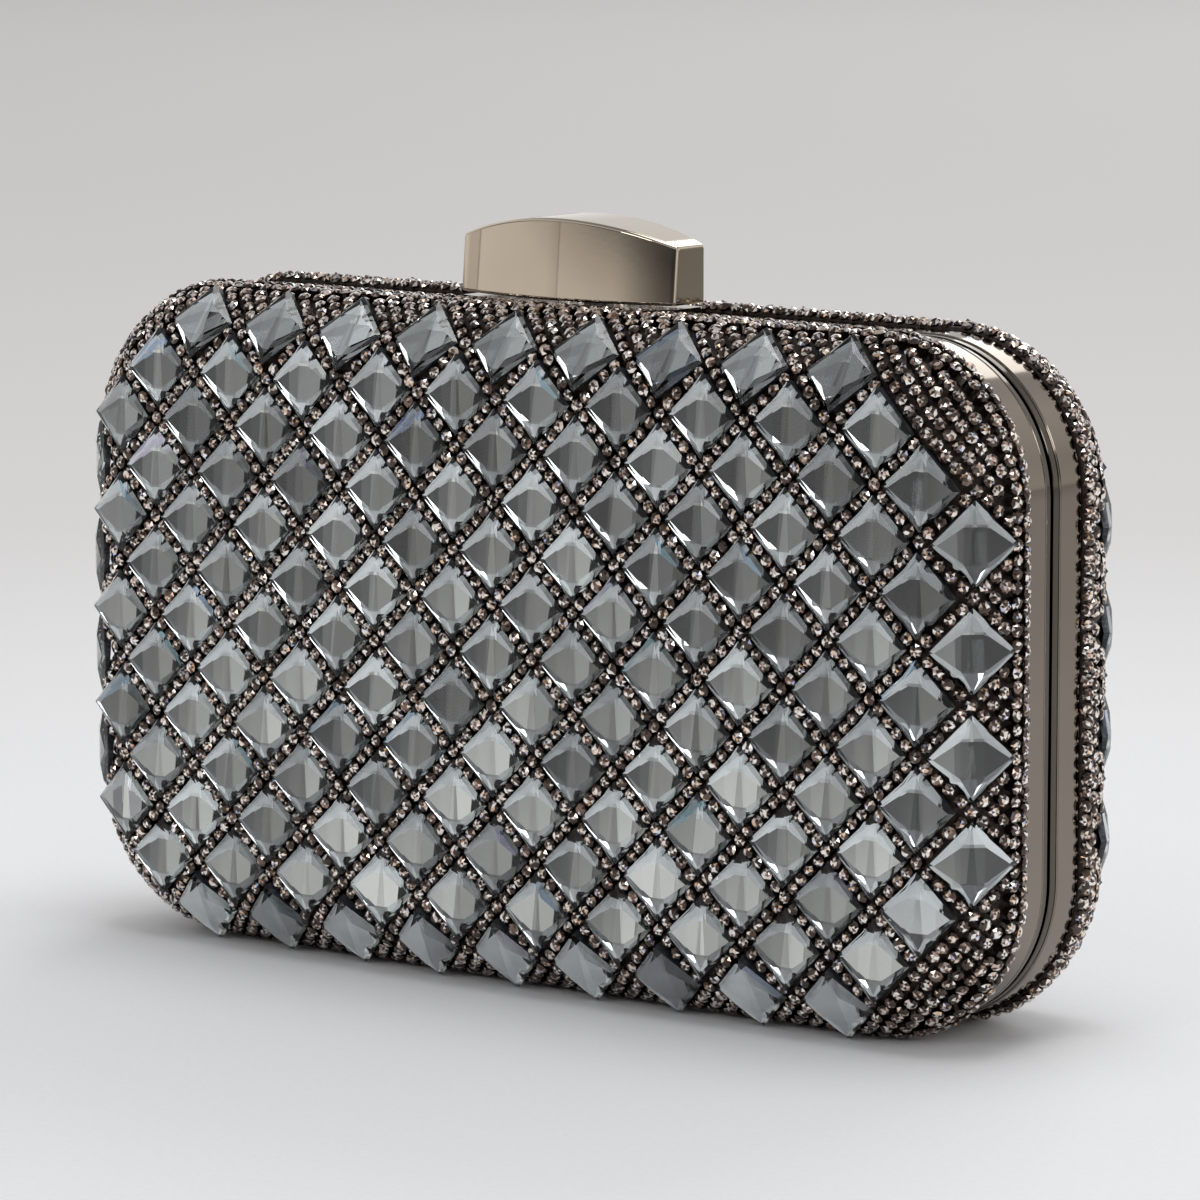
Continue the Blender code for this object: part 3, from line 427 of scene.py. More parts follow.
def crystal_glass(colour):
    """Clear smoky glass of the crystals' crowns, with a painted rainbow glint on a few facets."""
    material, tree, shader = new_surface("crystal_glass")
    # Faces valued above zero get a painted rainbow glint
    paint(tree, shader, face_value(tree), [
        (0.0, colour), (0.3, colour), (0.6, (0.30, 0.62, 0.80)), (0.8, (0.36, 0.42, 0.85)),
        (1.0, (0.72, 0.60, 0.85))])
    set_inputs(shader, Roughness=0.0, IOR=1.55, Transmission_Weight=1.0)
    return material


def crystal_foil(colour):
    """Silver-grey foil under the crystals, with each facet painted a little lighter or darker:
    painted reflection bands.
    """
    material, tree, shader = new_surface("crystal_foil")
    paint(tree, shader, face_value(tree), [
        (0.0, shade_of(colour, 0.6)), (1.0, shade_of(colour, 1.35))])
    set_inputs(shader, Metallic=1.0, Roughness=0.0)
    return material


def satin(colour):
    """Black satin: fine crossed threads, a soft sheen, and painted sheen and shade in broad lighter
    and darker patches for slack in the cloth.
    """
    material, tree, shader = new_surface("satin")
    place = tree.nodes.new("ShaderNodeTexCoord")
    weave = tree.nodes.new("ShaderNodeMath")
    weave.operation = "ADD"
    for socket, direction in zip(weave.inputs, ("X", "Z")):
        threads = tree.nodes.new("ShaderNodeTexWave")
        threads.bands_direction = direction
        set_inputs(threads, Scale=700.0, Distortion=0.6, Detail=1.0)
        tree.links.new(place.outputs["Object"], threads.inputs["Vector"])
        tree.links.new(threads.outputs["Fac"], socket)
    # Painted sheen and shade: a broad noise lightens and darkens the black cloth in patches
    slack = object_noise(tree, 45.0, 3.0)
    paint(tree, shader, slack, [(0.35, shade_of(colour, 0.7)), (0.65, shade_of(colour, 1.6))])
    set_inputs(shader, Roughness=0.28, Sheen_Weight=0.5, Sheen_Roughness=0.3)
    bump(tree, shader, weave.outputs["Value"], 0.25, 0.05 * MM)
    return material


def table_cloth(colour):
    """Pale tabletop with a faint weave, with painted light falloff: a little darker far from the
    bag.
    """
    material, tree, shader = new_surface("table_cloth")
    fleck = object_noise(tree, 900.0, 2.0)
    place = tree.nodes.new("ShaderNodeTexCoord")
    reach = tree.nodes.new("ShaderNodeVectorMath")
    reach.operation = "LENGTH"
    tree.links.new(place.outputs["Object"], reach.inputs[0])
    weave = ramp(tree, fleck, [(0.3, shade_of(colour, 0.97)), (0.7, colour)])
    # Painted light falloff: full colour near the bag, darker farther out
    painted_light_falloff = ramp(tree, reach.outputs["Value"], [(0.18, (1.0, 1.0, 1.0)), (0.6, (0.84, 0.82, 0.80))])
    tree.links.new(multiply(tree, weave, painted_light_falloff), shader.inputs["Base Color"])
    set_inputs(shader, Roughness=0.85)
    return material


# Settings

def colour_setting(name, description, default):
    return FloatVectorProperty(name=name, description=description, default=default,
                               subtype="COLOR")


def length_setting(name, description, default):
    return FloatProperty(name=name, description=description, default=default, unit="LENGTH")


class StoneSettings(PropertyGroup):
    crystal_side: length_setting("Crystal Side", "Side of a square crystal", 10.0 * MM)
    crystal_rise: length_setting(
        "Crystal Rise", "Height of a crystal's table over the glued surface", 2.0 * MM)
    girdle_height: length_setting(
        "Girdle Height", "Height of a crystal's edge over the glued surface", 0.75 * MM)
    table_width: length_setting("Table Width", "Width of a crystal's flat top", 4.1 * MM)
    table_height: length_setting("Table Height", "Height of a crystal's flat top", 5.9 * MM)
    rhinestone_size: length_setting("Rhinestone Size", "Diameter of a small stone", 2.3 * MM)
    rhinestones_a_cell: IntProperty(
        name="Rhinestones a Cell", description="Small stones along one side of a lattice cell",
        default=5)
    # Share of the crystals with a painted rainbow glint on one crown facet
    painted_rainbow_share: FloatProperty(
        name="Rainbow Share", description="Share of the crystals with one tinted facet",
        default=0.16, subtype="FACTOR")
    glass_colour: colour_setting("Glass Colour", "Tint of the crystals", (0.90, 0.945, 0.975))
    foil_colour: colour_setting("Foil Colour", "Foil behind the crystals", (0.60, 0.61, 0.60))
    dark_edge_colour: colour_setting(
        "Setting Colour", "Dark edge round each crystal", (0.055, 0.06, 0.07))
    rhinestone_colour: colour_setting(
        "Rhinestone Colour", "Dark facets of the small stones", (0.080, 0.052, 0.040))
    # Colour of the painted glints on the small stones' facets
    painted_glint_colour: colour_setting(
        "Glint Colour", "Facets of the small stones that flash", (0.97, 0.85, 0.74))
    bed_colour: colour_setting("Bed Colour", "Resin between the stones", (0.032, 0.022, 0.018))


class MetalSettings(PropertyGroup):
    champagne: colour_setting("Champagne", "Polished metal of the strips", (0.25, 0.215, 0.18))
    clasp_champagne: colour_setting(
        "Clasp Champagne", "Lighter polished metal of the clasp bar", (0.60, 0.52, 0.43))
    # Painted shade: a darker copy of the clasp bar's metal for its two ends
    painted_shade_clasp_end: colour_setting(
        "Clasp End", "Darker metal of the clasp bar's two ends", (0.24, 0.205, 0.155))
    steel: colour_setting("Steel", "Plated steel of the hinges and the latch", (0.50, 0.50, 0.51))
    polish: FloatProperty(
        name="Polish", description="Roughness of the polished metal",
        default=0.09, subtype="FACTOR")


class LiningSettings(PropertyGroup):
    satin_colour: colour_setting("Satin Colour", "Cloth of the lining", (0.016, 0.015, 0.018))
    panel_colour: colour_setting(
        "Panel Colour", "Moulded panels between stones and lining", (0.022, 0.022, 0.023))


class StageSettings(PropertyGroup):
    table_colour: colour_setting(
        "Table Colour", "Floor that the bag stands on", (0.945, 0.95, 0.965))
    sky_strength: FloatProperty(
        name="Sky Strength", description="Brightness of the soft surroundings", default=0.78)
    key_power: FloatProperty(
        name="Key Power", description="Power of the large softbox", default=12.0, unit="POWER")


# Metal strips

def strip_section():
    """Section of one strip as (distance inwards from the ring, distance from the seam)."""
    seam = 0.46 * MM
    shoulder = 1.5 * MM
    step = 0.12 * MM
    dip = 0.3 * MM
    flange_back = 1.65 * MM
    flange_front = 0.15 * MM
    flange_depth = 3.0 * MM
    ledge = 2.0 * MM
    edge = 0.45 * MM
    bead = 0.2 * MM
    outline = [(dip + step, seam), (dip * 0.6 + step, seam + 0.12 * MM)]
    for part in range(7):
        angle = pi * part / 6
        outline.append((bead * (1.1 - sin(angle)), seam + shoulder - bead * cos(angle)))
    outline.append((0.3 * bead, seam + shoulder + bead + 0.15 * MM))
    for part in range(7):
        angle = part / 6 * pi / 2
        outline.append((edge * (1 - cos(angle)), STRIP_WIDTH - edge * (1 - sin(angle))))
    outline += [(STRIP_THICKNESS, STRIP_WIDTH), (STRIP_THICKNESS, flange_back),
                (flange_depth, flange_back), (flange_depth, flange_front),
                (ledge, flange_front), (ledge, seam)]
    return outline


def ring_sweep(section, side):
    """Sweep a closed section round the rounded rectangle of the frame."""
    top = RING_CENTRE_Z + RING_HALF_HEIGHT
    bm = bmesh.new()
    verts = [bm.verts.new((STRAIGHT_X, side * from_seam, top - inwards))
             for inwards, from_seam in section]
    edges = [bm.edges.new((one, other)) for one, other in zip(verts, verts[1:] + verts[:1])]
    legs = ((1, 1, (0, 0, -2 * STRAIGHT_Z)), (1, -1, (-2 * STRAIGHT_X, 0, 0)),
            (-1, -1, (0, 0, 2 * STRAIGHT_Z)), (-1, 1, (2 * STRAIGHT_X, 0, 0)))
    current = edges + verts
    for side_x, side_z, run in legs:
        centre = (side_x * STRAIGHT_X, 0.0, RING_CENTRE_Z + side_z * STRAIGHT_Z)
        turned = bmesh.ops.spin(bm, geom=current, cent=centre, axis=(0, 1, 0), dvec=(0, 0, 0),
                                angle=pi / 2, steps=RING_STEPS, use_merge=False,
                                use_duplicate=False)
        last = only(turned["geom_last"], bmesh.types.BMEdge)
        pulled = bmesh.ops.extrude_edge_only(bm, edges=last)["geom"]
        moved = only(pulled, bmesh.types.BMVert)
        bmesh.ops.translate(bm, verts=moved, vec=run)
        ends = set(moved)
        current = [edge for edge in only(pulled, bmesh.types.BMEdge) if ends.issuperset(edge.verts)]
        current += moved
    bmesh.ops.remove_doubles(bm, verts=bm.verts, dist=0.005 * MM)
    bmesh.ops.recalc_face_normals(bm, faces=bm.faces)
    outwards(bm)
    return bm


def drill(bm, name, bottom, top, radius):
    """Upright hole in a cutter for a fastener's node."""
    low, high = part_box(name)
    middle = (low + high) / 2
    add_rod(bm, (middle.x, middle.y, bottom), (middle.x, middle.y, top), radius)


def strip_cutters(side, half):
    """Room in a strip for the hinges, the hook and the fasteners."""
    clearance = 0.3 * MM
    overrun = 1.0 * MM
    rivet_hole = 1.1 * MM
    screw_hole = 1.0 * MM
    knuckle_hole = 1.5 * MM
    knuckle_overhang = 0.6 * MM
    flange_room = 3.0 * MM
    hook_half = 3.1 * MM
    hook_depth = 1.95 * MM
    stem_half = 2.8 * MM
    stem_front = 3.3 * MM
    stem_back = 6.8 * MM
    skin = 0.1 * MM
    bottom = RING_LOW.z
    top = RING_HIGH.z
    axis_z = bottom + 0.8 * MM
    pocket_z = bottom + STRIP_THICKNESS - skin
    web = top - STRIP_THICKNESS
    bm = bmesh.new()
    for hinge in ("left", "right"):
        low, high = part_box(f"hinge_leaf_{hinge}_rear")
        centre = (low.x + high.x) / 2
        leaf = (high.x - low.x) / 2 + clearance
        channel = leaf + knuckle_overhang + clearance
        add_rod(bm, (centre - channel, 0, axis_z), (centre + channel, 0, axis_z), knuckle_hole)
        near, far = sorted((-side * overrun, side * (STRIP_WIDTH + overrun)))
        add_box(bm, (centre - leaf, near, pocket_z), (centre + leaf, far, pocket_z + flange_room))
        for number in (1, 2):
            drill(bm, f"hinge_rivet_{hinge}_{half}_{number}", bottom - overrun,
                  pocket_z + overrun, rivet_hole)
    near, far = sorted((-side * overrun, side * hook_depth))
    add_box(bm, (-hook_half, near, web - flange_room), (hook_half, far, web + skin))
    if side == REAR:
        add_box(bm, (-stem_half, stem_front, web - overrun), (stem_half, stem_back, top + overrun))
    fastener, radius = ("catch_rivet", rivet_hole) if side == FRONT else ("clasp_screw", screw_hole)
    for number in (1, 2):
        drill(bm, f"{fastener}_{number}", web - overrun, top + overrun, radius)
    return bm


class CLUTCH_OT_frame_strips(Operator):
    """Bend the two polished strips round the bag and make room in them for hinges and latch"""
    bl_idname = "clutch.frame_strips"
    bl_label = "Frame Strips"

    def execute(self, context):
        settings = context.scene.clutch_metal
        metal = polished_metal("strip_champagne", settings.champagne, settings.polish)
        # Painted shade: a darker copy of the strip metal for the outer faces in the groove beside
        # the seam
        painted_groove_shade = polished_metal("strip_groove_painted_shade", shade_of(settings.champagne, 0.45),
                                settings.polish)
        groove_start = 0.4 * MM
        groove_end = 1.6 * MM
        for side, half in HALVES:
            bm = ring_sweep(strip_section(), side)
            for face in bm.faces:
                middle = face.calc_center_median()
                outer = face.normal.dot(middle - Vector((0.0, middle.y, RING_CENTRE_Z))) > 0.0
                face.material_index = int(outer and groove_start < side * middle.y < groove_end)
            piece = finish_mesh(bm, f"{half}_strip", [metal, painted_groove_shade])
            carve(piece, strip_cutters(side, half))
            settle_normals(piece, 28)
            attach(piece, f"{half}_half")
            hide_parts(f"{half}_frame")
        assign("clasp_base", metal)
        return {"FINISHED"}


# Stones

def lattice_places():
    """Flat-sheet places of one half's crystals."""
    places = []
    last = max(LATTICE_ROWS)
    for row in range(-last, last + 1):
        count = LATTICE_ROWS[abs(row)]
        for column in range(count):
            places.append(((2 * column - count + 1) * LATTICE_PITCH / 2, row * LATTICE_PITCH / 2))
    return places


def stone_matrix(foot, along, up, normal):
    turn = Matrix((along, up, normal)).transposed().to_4x4()
    return Matrix.Translation(foot) @ turn


def chance_tilt(dice, limit):
    """Small turns by chance round X and Y, up to a limit in degrees."""
    tilt = Matrix.Rotation(radians(dice.uniform(-limit, limit)), 4, "X")
    return tilt @ Matrix.Rotation(radians(dice.uniform(-limit, limit)), 4, "Y")


# Material slots of a crystal
GLASS = 0
FOIL = 1
EDGE = 2


def cut_crystal(settings):
    """One crystal round its own origin: rectangular table, eight crown facets, foiled back.

    The back is almost flat: it deepens towards the top corner, and two folds leave an upright
    band in its middle.
    """
    half = settings.crystal_side / sqrt(2)
    top = settings.crystal_rise
    girdle = settings.girdle_height
    bevel_inset = 0.89
    bevel_rise = 0.6 * MM
    inset = 0.97
    sink = 0.4 * MM
    back_slope = 0.6 * MM / half
    fold = 0.22 * MM / half
    band = 1.0 * MM
    band_end = half * 0.62
    wide = settings.table_width / 2
    high = settings.table_height / 2
    bm = bmesh.new()
    for x, y in ((half, 0), (0, half), (-half, 0), (0, -half)):
        bm.verts.new((x, y, girdle))
        bm.verts.new((x * bevel_inset, y * bevel_inset, girdle + bevel_rise))
        bm.verts.new((x * inset, y * inset, -sink - back_slope * y + fold * abs(x)))
    for x in (-1, 1):
        for y in (-1, 1):
            bm.verts.new((x * wide, y * high, top))
            bm.verts.new((x * band, y * band_end, -sink - back_slope * y * band_end))
    bmesh.ops.convex_hull(bm, input=bm.verts)
    bmesh.ops.dissolve_limit(bm, angle_limit=radians(1), verts=bm.verts, edges=bm.edges)
    bm.normal_update()
    for face in bm.faces:
        up = face.normal.z
        face.material_index = FOIL if up < -0.7 else EDGE if up < 0.3 else GLASS
    return as_mesh(bm, "crystal_pattern")


def set_copies(pattern, matrices, name, materials, values):
    """One piece of many copies of a pattern mesh; values gives each copy's faces their random tone
    and painted light.
    """
    bm = bmesh.new()
    tone_and_painted_light = pattern.attributes.new("tone_and_painted_light", "FLOAT", "FACE")
    plain = [part for vert in pattern.vertices for part in vert.co]
    for place, tones in zip(matrices, values):
        pattern.vertices.foreach_set("co", plain)
        pattern.transform(place)
        tone_and_painted_light.data.foreach_set("value", tones)
        bm.from_mesh(pattern)
    return finish_mesh(bm, name, materials)


class CLUTCH_OT_crystals(Operator):
    """Set the square crystals as diamonds on both halves"""
    bl_idname = "clutch.crystals"
    bl_label = "Crystals"

    def execute(self, context):
        settings = context.scene.clutch_stones
        glass = crystal_glass(settings.glass_colour)
        foil = crystal_foil(settings.foil_colour)
        # The crystals' side walls get a dark surface, which darkens their edges
        dark_edge = glue_bed("crystal_dark_edge", settings.dark_edge_colour)
        pattern = cut_crystal(settings)
        table = 0.97
        crown = [face.index for face in pattern.polygons
                 if face.material_index == GLASS and face.normal.z < table and face.center.y > 0]
        # Spread of the painted reflection bands across a crystal's foil facets
        painted_band_spread = 0.4
        dice = random.Random(CRYSTAL_SEED)
        for side, half in HALVES:
            places = []
            values = []
            for u, v in lattice_places():
                foot, along, up, normal = surface_frame(u, v, side)
                tilt = chance_tilt(dice, 1.2)
                places.append(stone_matrix(foot, along, up, normal) @ tilt)
                painted_foil_level = dice.random()
                # Some crystals get a painted rainbow glint on one upper crown facet
                tinted = dice.choice(crown) if dice.random() < settings.painted_rainbow_share else None
                painted_rainbow_hue = dice.uniform(0.5, 1.0)
                # Foil facets: a random level per crystal, spread facet by facet into painted
                # reflection bands
                tones = []
                for face in pattern.polygons:
                    if face.material_index == GLASS:
                        tones.append(painted_rainbow_hue if face.index == tinted else 0.0)
                    else:
                        tones.append(min(max(painted_foil_level + dice.uniform(-painted_band_spread, painted_band_spread), 0.0), 1.0))
                values.append(tones)
            piece = set_copies(pattern.copy(), places, f"{half}_square_stones",
                               [glass, foil, dark_edge], values)
            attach(piece, f"{half}_half")
            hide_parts(f"{half}_crystals")
        return {"FINISHED"}


def cut_rhinestone(settings):
    """One small stone: slim dark cup, flared girdle, faceted crown and pointed table."""
    radius = settings.rhinestone_size / 2
    foot = -1.0 * MM
    waist = 0.6 * MM
    foot_share = 0.72
    waist_share = 0.8
    table_share = 0.6
    point = 0.12 * MM
    bm = bmesh.new()
    bmesh.ops.create_cone(bm, cap_ends=True, segments=8, radius1=radius * foot_share,
                          radius2=radius * waist_share, depth=waist - foot,
                          matrix=Matrix.Translation((0, 0, (waist + foot) / 2)))
    for height, share, turn in ((STONE_GIRDLE, 1 / waist_share, 0),
                                (STONE_CROWN, table_share, pi / 8)):
        top = max(bm.faces, key=lambda face: face.calc_center_median().z)
        raised = bmesh.ops.extrude_discrete_faces(bm, faces=[top])["faces"][0]
        lift = height - raised.verts[0].co.z
        place = Matrix.Translation((0, 0, lift)) @ Matrix.Rotation(turn, 4, "Z")
        bmesh.ops.transform(bm, matrix=place @ Matrix.Diagonal((share, share, 1, 1)),
                            verts=raised.verts)
    centre = bmesh.ops.poke(bm, faces=[raised])["verts"][0]
    centre.co.z += point
    bmesh.ops.triangulate(bm, faces=[face for face in bm.faces
                                     if face.calc_center_median().z > STONE_GIRDLE])
    return as_mesh(bm, "rhinestone_pattern")


def rim_row(depth, spacing, shift, side):
    """Flat-sheet places of a row of stones that runs round the bag at one depth from the seam."""
    along_x = round(2 * STRAIGHT_X / spacing)
    along_z = round(2 * STRAIGHT_Z / spacing)
    round_corner = round(RING_CORNER_RADIUS * pi / 2 / spacing)
    rays = []
    for step in range(along_x):
        u = STRAIGHT_X * (2 * (step + shift) / along_x - 1)
        rays += [(u, STRAIGHT_Z, 0.0, 1.0), (-u, -STRAIGHT_Z, 0.0, -1.0)]
    for step in range(along_z):
        v = STRAIGHT_Z * (2 * (step + shift) / along_z - 1)
        rays += [(STRAIGHT_X, v, 1.0, 0.0), (-STRAIGHT_X, -v, -1.0, 0.0)]
    for step in range(round_corner):
        angle = (step + shift) / round_corner * pi / 2
        for turn_x, turn_z in ((1, 1), (-1, 1), (-1, -1), (1, -1)):
            rays.append((turn_x * STRAIGHT_X, turn_z * STRAIGHT_Z,
                         turn_x * cos(angle), turn_z * sin(angle)))
    return [wrap_ray(ray, depth, side) for ray in rays]


def wrap_ray(ray, depth, side):
    """Place where a ray over the flat sheet comes to a depth from the seam, by halving."""
    u, v, toward_u, toward_v = ray
    near = 0.0
    far = 60 * MM
    for halving in range(20):
        middle = (near + far) / 2
        point = half_point(u + toward_u * middle, v + toward_v * middle, 0.0, side)
        if side * point.y > depth:
            near = middle
        else:
            far = middle
    return u + toward_u * near, v + toward_v * near


def neighbours(buckets, key):
    """What a bucket and those round it hold."""
    for shift in product((-1, 0, 1), repeat=len(key)):
        yield from buckets.get(tuple(part + step for part, step in zip(key, shift)), ())


def rhinestone_places(settings, side):
    """Places for the small stones: two rows at the rim, a grid along the lanes, its half steps.

    Each is (u, v, lean), where lean turns the stone towards the seam.
    """
    size = settings.rhinestone_size
    cell = LATTICE_PITCH / sqrt(2)
    pitch = cell / settings.rhinestones_a_cell
    spacing = size * 0.76
    clear = settings.crystal_side / 2 + size * 0.38
    wrap = 24 * MM
    kept = []
    buckets = {}

    def keep(u, v, lean, rim):
        point = half_point(u, v, 0.0, side)
        key = tuple(int(part // spacing) for part in point)
        if point.y * side >= rim and all(
                (other - point).length >= spacing for other in neighbours(buckets, key)):
            buckets.setdefault(key, []).append(point)
            kept.append((u, v, lean))

    for row, lean in enumerate((0.3, 0.0) if side == FRONT else (0.65, 0.2)):
        depth = RIM + size * (0.3 + 0.85 * row)
        for u, v in rim_row(depth, pitch * 0.93, 0.5 * row, side):
            keep(u, v, lean, RIM)
    crystals = {}
    for u, v in lattice_places():
        p = (u + v) / sqrt(2)
        q = (v - u) / sqrt(2)
        crystals.setdefault((int(p // cell), int(q // cell)), []).append((p, q))
    shift = 0.5 * (settings.rhinestones_a_cell % 2)
    reach = 2 * int((RING_HALF_WIDTH + RING_HALF_HEIGHT + 40 * MM) / pitch)
    crossings = list(product(range(-reach, reach + 1), repeat=2))
    crossings.sort(key=lambda place: place[0] % 2 + place[1] % 2)
    for i, j in crossings:
        p = (i / 2 + shift) * pitch
        q = (j / 2 + shift) * pitch
        u = (p - q) / sqrt(2)
        v = (p + q) / sqrt(2)
        if abs(u) > RING_HALF_WIDTH + wrap or abs(v) > RING_HALF_HEIGHT + wrap:
            continue
        near = neighbours(crystals, (int(p // cell), int(q // cell)))
        if all(max(abs(p - cp), abs(q - cq)) >= clear for cp, cq in near):
            keep(u, v, 0.0, RIM + size * 0.5)
    return kept


class CLUTCH_OT_rhinestones(Operator):
    """Fill the lanes and the edges of both halves with small stones on their dark bed"""
    bl_idname = "clutch.rhinestones"
    bl_label = "Rhinestones"

    def execute(self, context):
        settings = context.scene.clutch_stones
        bed = glue_bed("glue_bed", settings.bed_colour)
        stone = rhinestone_glass(settings.rhinestone_colour, settings.painted_glint_colour)
        for side, half in HALVES:
            self.make_bed(side, half, bed)
            self.make_rim(side, half, bed)
            self.set_stones(side, half, stone, settings)
        return {"FINISHED"}

    def make_bed(self, side, half, material):
        """Dark sheet under the stones"""
        bm = wrapped_sheet(side, (10, 6, 8), lambda u, v: -1.0 * MM, RIM)
        piece = finish_mesh(bm, f"{half}_stone_bed", [material], 60)
        thicken(piece, 0.6 * MM)
        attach(piece, f"{half}_half")

    def make_rim(self, side, half, material):
        """Raised resin edge that holds the outermost row of stones beside the strip"""
        low = 0.7 * MM
        high = -0.45 * MM
        near = STRIP_WIDTH + 0.1 * MM
        far = near + 1.0 * MM
        chamfer = 0.25 * MM
        section = [(low, near), (low, far), (high + chamfer, far), (high, far - chamfer),
                   (high, near + chamfer), (high + chamfer, near)]
        piece = finish_mesh(ring_sweep(section, side), f"{half}_stone_rim", [material], 50)
        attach(piece, f"{half}_half")

    def set_stones(self, side, half, material, settings):
        """Small stones, each a little off its place, with painted glints on facets picked by chance
        """
        dice = random.Random(RHINESTONE_SEED + side)
        pattern = cut_rhinestone(settings)
        # Chances of a painted glint on a facet of the cup, the crown and the table
        cup, crown, table = 0.15, 0.3, 0.5
        painted_glint_shares = [cup if face.center.z < STONE_GIRDLE else crown if face.center.z < STONE_CROWN
                   else table for face in pattern.polygons]
        places = []
        values = []
        stray = 0.08 * MM
        for u, v, lean in rhinestone_places(settings, side):
            u += dice.uniform(-stray, stray)
            v += dice.uniform(-stray, stray)
            foot, along, up, normal = surface_frame(u, v, side)
            normal = (normal + Vector((0.0, -side * lean, 0.0))).normalized()
            along = up.cross(normal).normalized()
            up = normal.cross(along)
            tilt = chance_tilt(dice, 8)
            tilt = tilt @ Matrix.Rotation(radians(45 + dice.uniform(-6, 6)), 4, "Z")
            foot += normal * (dice.uniform(-0.05, 0.05) * MM)
            place = stone_matrix(foot, along, up, normal) @ tilt
            places.append(place @ Matrix.Scale(dice.uniform(0.92, 1.04), 4))
            # Facets without a painted glint share the stone's random dark tone
            tone = dice.uniform(0.1, 0.6)
            values.append([dice.uniform(0.66, 1.0) if dice.random() < share else tone
                           for share in painted_glint_shares])
        piece = set_copies(pattern, places, f"{half}_rhinestones", [material], values)
        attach(piece, f"{half}_half")


# Clasp

class CLUTCH_OT_clasp_bar(Operator):
    """Make the lens-shaped, arched clasp bar that tips over the seam"""
    bl_idname = "clutch.clasp_bar"
    bl_label = "Clasp Bar"

    def execute(self, context):
        settings = context.scene.clutch_metal
        metal = polished_metal("clasp_champagne", settings.clasp_champagne, settings.polish * 0.4)
        low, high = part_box("clasp_bar")
        half_length = (high.x - low.x) / 2
        stations = 48
        lean = 0.085
        end_height = 9.8 * MM
        arch = 3.9 * MM
        bm = bmesh.new()
        bmesh.ops.create_grid(bm, x_segments=stations, y_segments=1, size=1.0)
        for vert in bm.verts:
            x = vert.co.x * half_length
            bow = 1 - (x / half_length) ** 2
            front = -(CLASP_END_DEPTH + CLASP_FRONT_BOW * bow)
            back = CLASP_END_DEPTH + CLASP_REAR_BOW * bow
            vert.co = (x, front if vert.co.y < 0 else back, low.z)
        lifted = bmesh.ops.extrude_face_region(bm, geom=bm.faces[:])["geom"]
        for vert in only(lifted, bmesh.types.BMVert):
            vert.co.z = low.z + end_height + arch * (1 - (vert.co.x / half_length) ** 2)
            if vert.co.y < 0:
                vert.co.y += lean * (vert.co.z - low.z)
        bmesh.ops.recalc_face_normals(bm, faces=bm.faces)
        outwards(bm)
        edges = [edge for edge in bm.edges if edge.calc_face_angle(0.0) > radians(40)]
        bmesh.ops.bevel(bm, geom=edges, offset=0.6 * MM, offset_type="OFFSET", affect="EDGES",
                        segments=4, profile=0.5, material=-1)
        # Painted shade: the two end faces get a darker copy of the bar's metal
        sideways = 0.98
        for face in bm.faces:
            face.material_index = int(abs(face.normal.x) > sideways)
        painted_shade_end_metal = polished_metal("clasp_end_painted_shade", settings.painted_shade_clasp_end, settings.polish)
        piece = finish_mesh(bm, "clasp_bar_polished", [metal, painted_shade_end_metal])
        stem_half = 2.8 * MM
        pocket = bmesh.new()
        add_box(pocket, (-stem_half, 3.3 * MM, low.z - 1 * MM),
                (stem_half, 5.9 * MM, low.z + 3 * MM))
        carve(piece, pocket)
        settle_normals(piece, 28)
        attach(piece, "latch")
        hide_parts("clasp_bar")
        return {"FINISHED"}


# Carried-over nodes

def assign(name, material):
    """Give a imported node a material."""
    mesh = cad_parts[name].data
    mesh.materials.clear()
    mesh.materials.append(material)


class CLUTCH_OT_fittings(Operator):
    """Finish the hinges, the latch, the fasteners and the moulded panels"""
    bl_idname = "clutch.fittings"
    bl_label = "Fittings and Panels"

    def execute(self, context):
        metal = plated_steel(context.scene.clutch_metal.steel)
        panel = moulded_black(context.scene.clutch_lining.panel_colour)
        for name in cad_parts:
            if name.startswith(("hinge_", "catch_", "clasp_screw", "latch_")):
                assign(name, metal)
        for name in ("front_shell", "rear_shell"):
            assign(name, panel)
        return {"FINISHED"}


def clear_latch_room(bm, side):
    """Open a lining's sheet round the catch or the latch bracket."""
    clearance = 0.3 * MM
    names = ("catch_plate",) if side == FRONT else ("latch_bracket", "latch_pivot")
    boxes = [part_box(name) for name in names]
    half = max(high.x for low, high in boxes) + clearance
    back = max(max(side * low.y, side * high.y) for low, high in boxes) + clearance
    bottom = min(low.z for low, high in boxes) - 2 * clearance
    for place, across in (((half, 0, 0), (1, 0, 0)), ((-half, 0, 0), (1, 0, 0)),
                          ((0, side * back, 0), (0, 1, 0)), ((0, 0, bottom), (0, 0, 1))):
        bmesh.ops.bisect_plane(bm, geom=bm.verts[:] + bm.edges[:] + bm.faces[:],
                               plane_co=place, plane_no=across)
    middles = [(face, face.calc_center_median()) for face in bm.faces]
    inside = [face for face, middle in middles
              if abs(middle.x) < half and side * middle.y < back and middle.z > bottom]
    bmesh.ops.delete(bm, geom=inside, context="FACES")


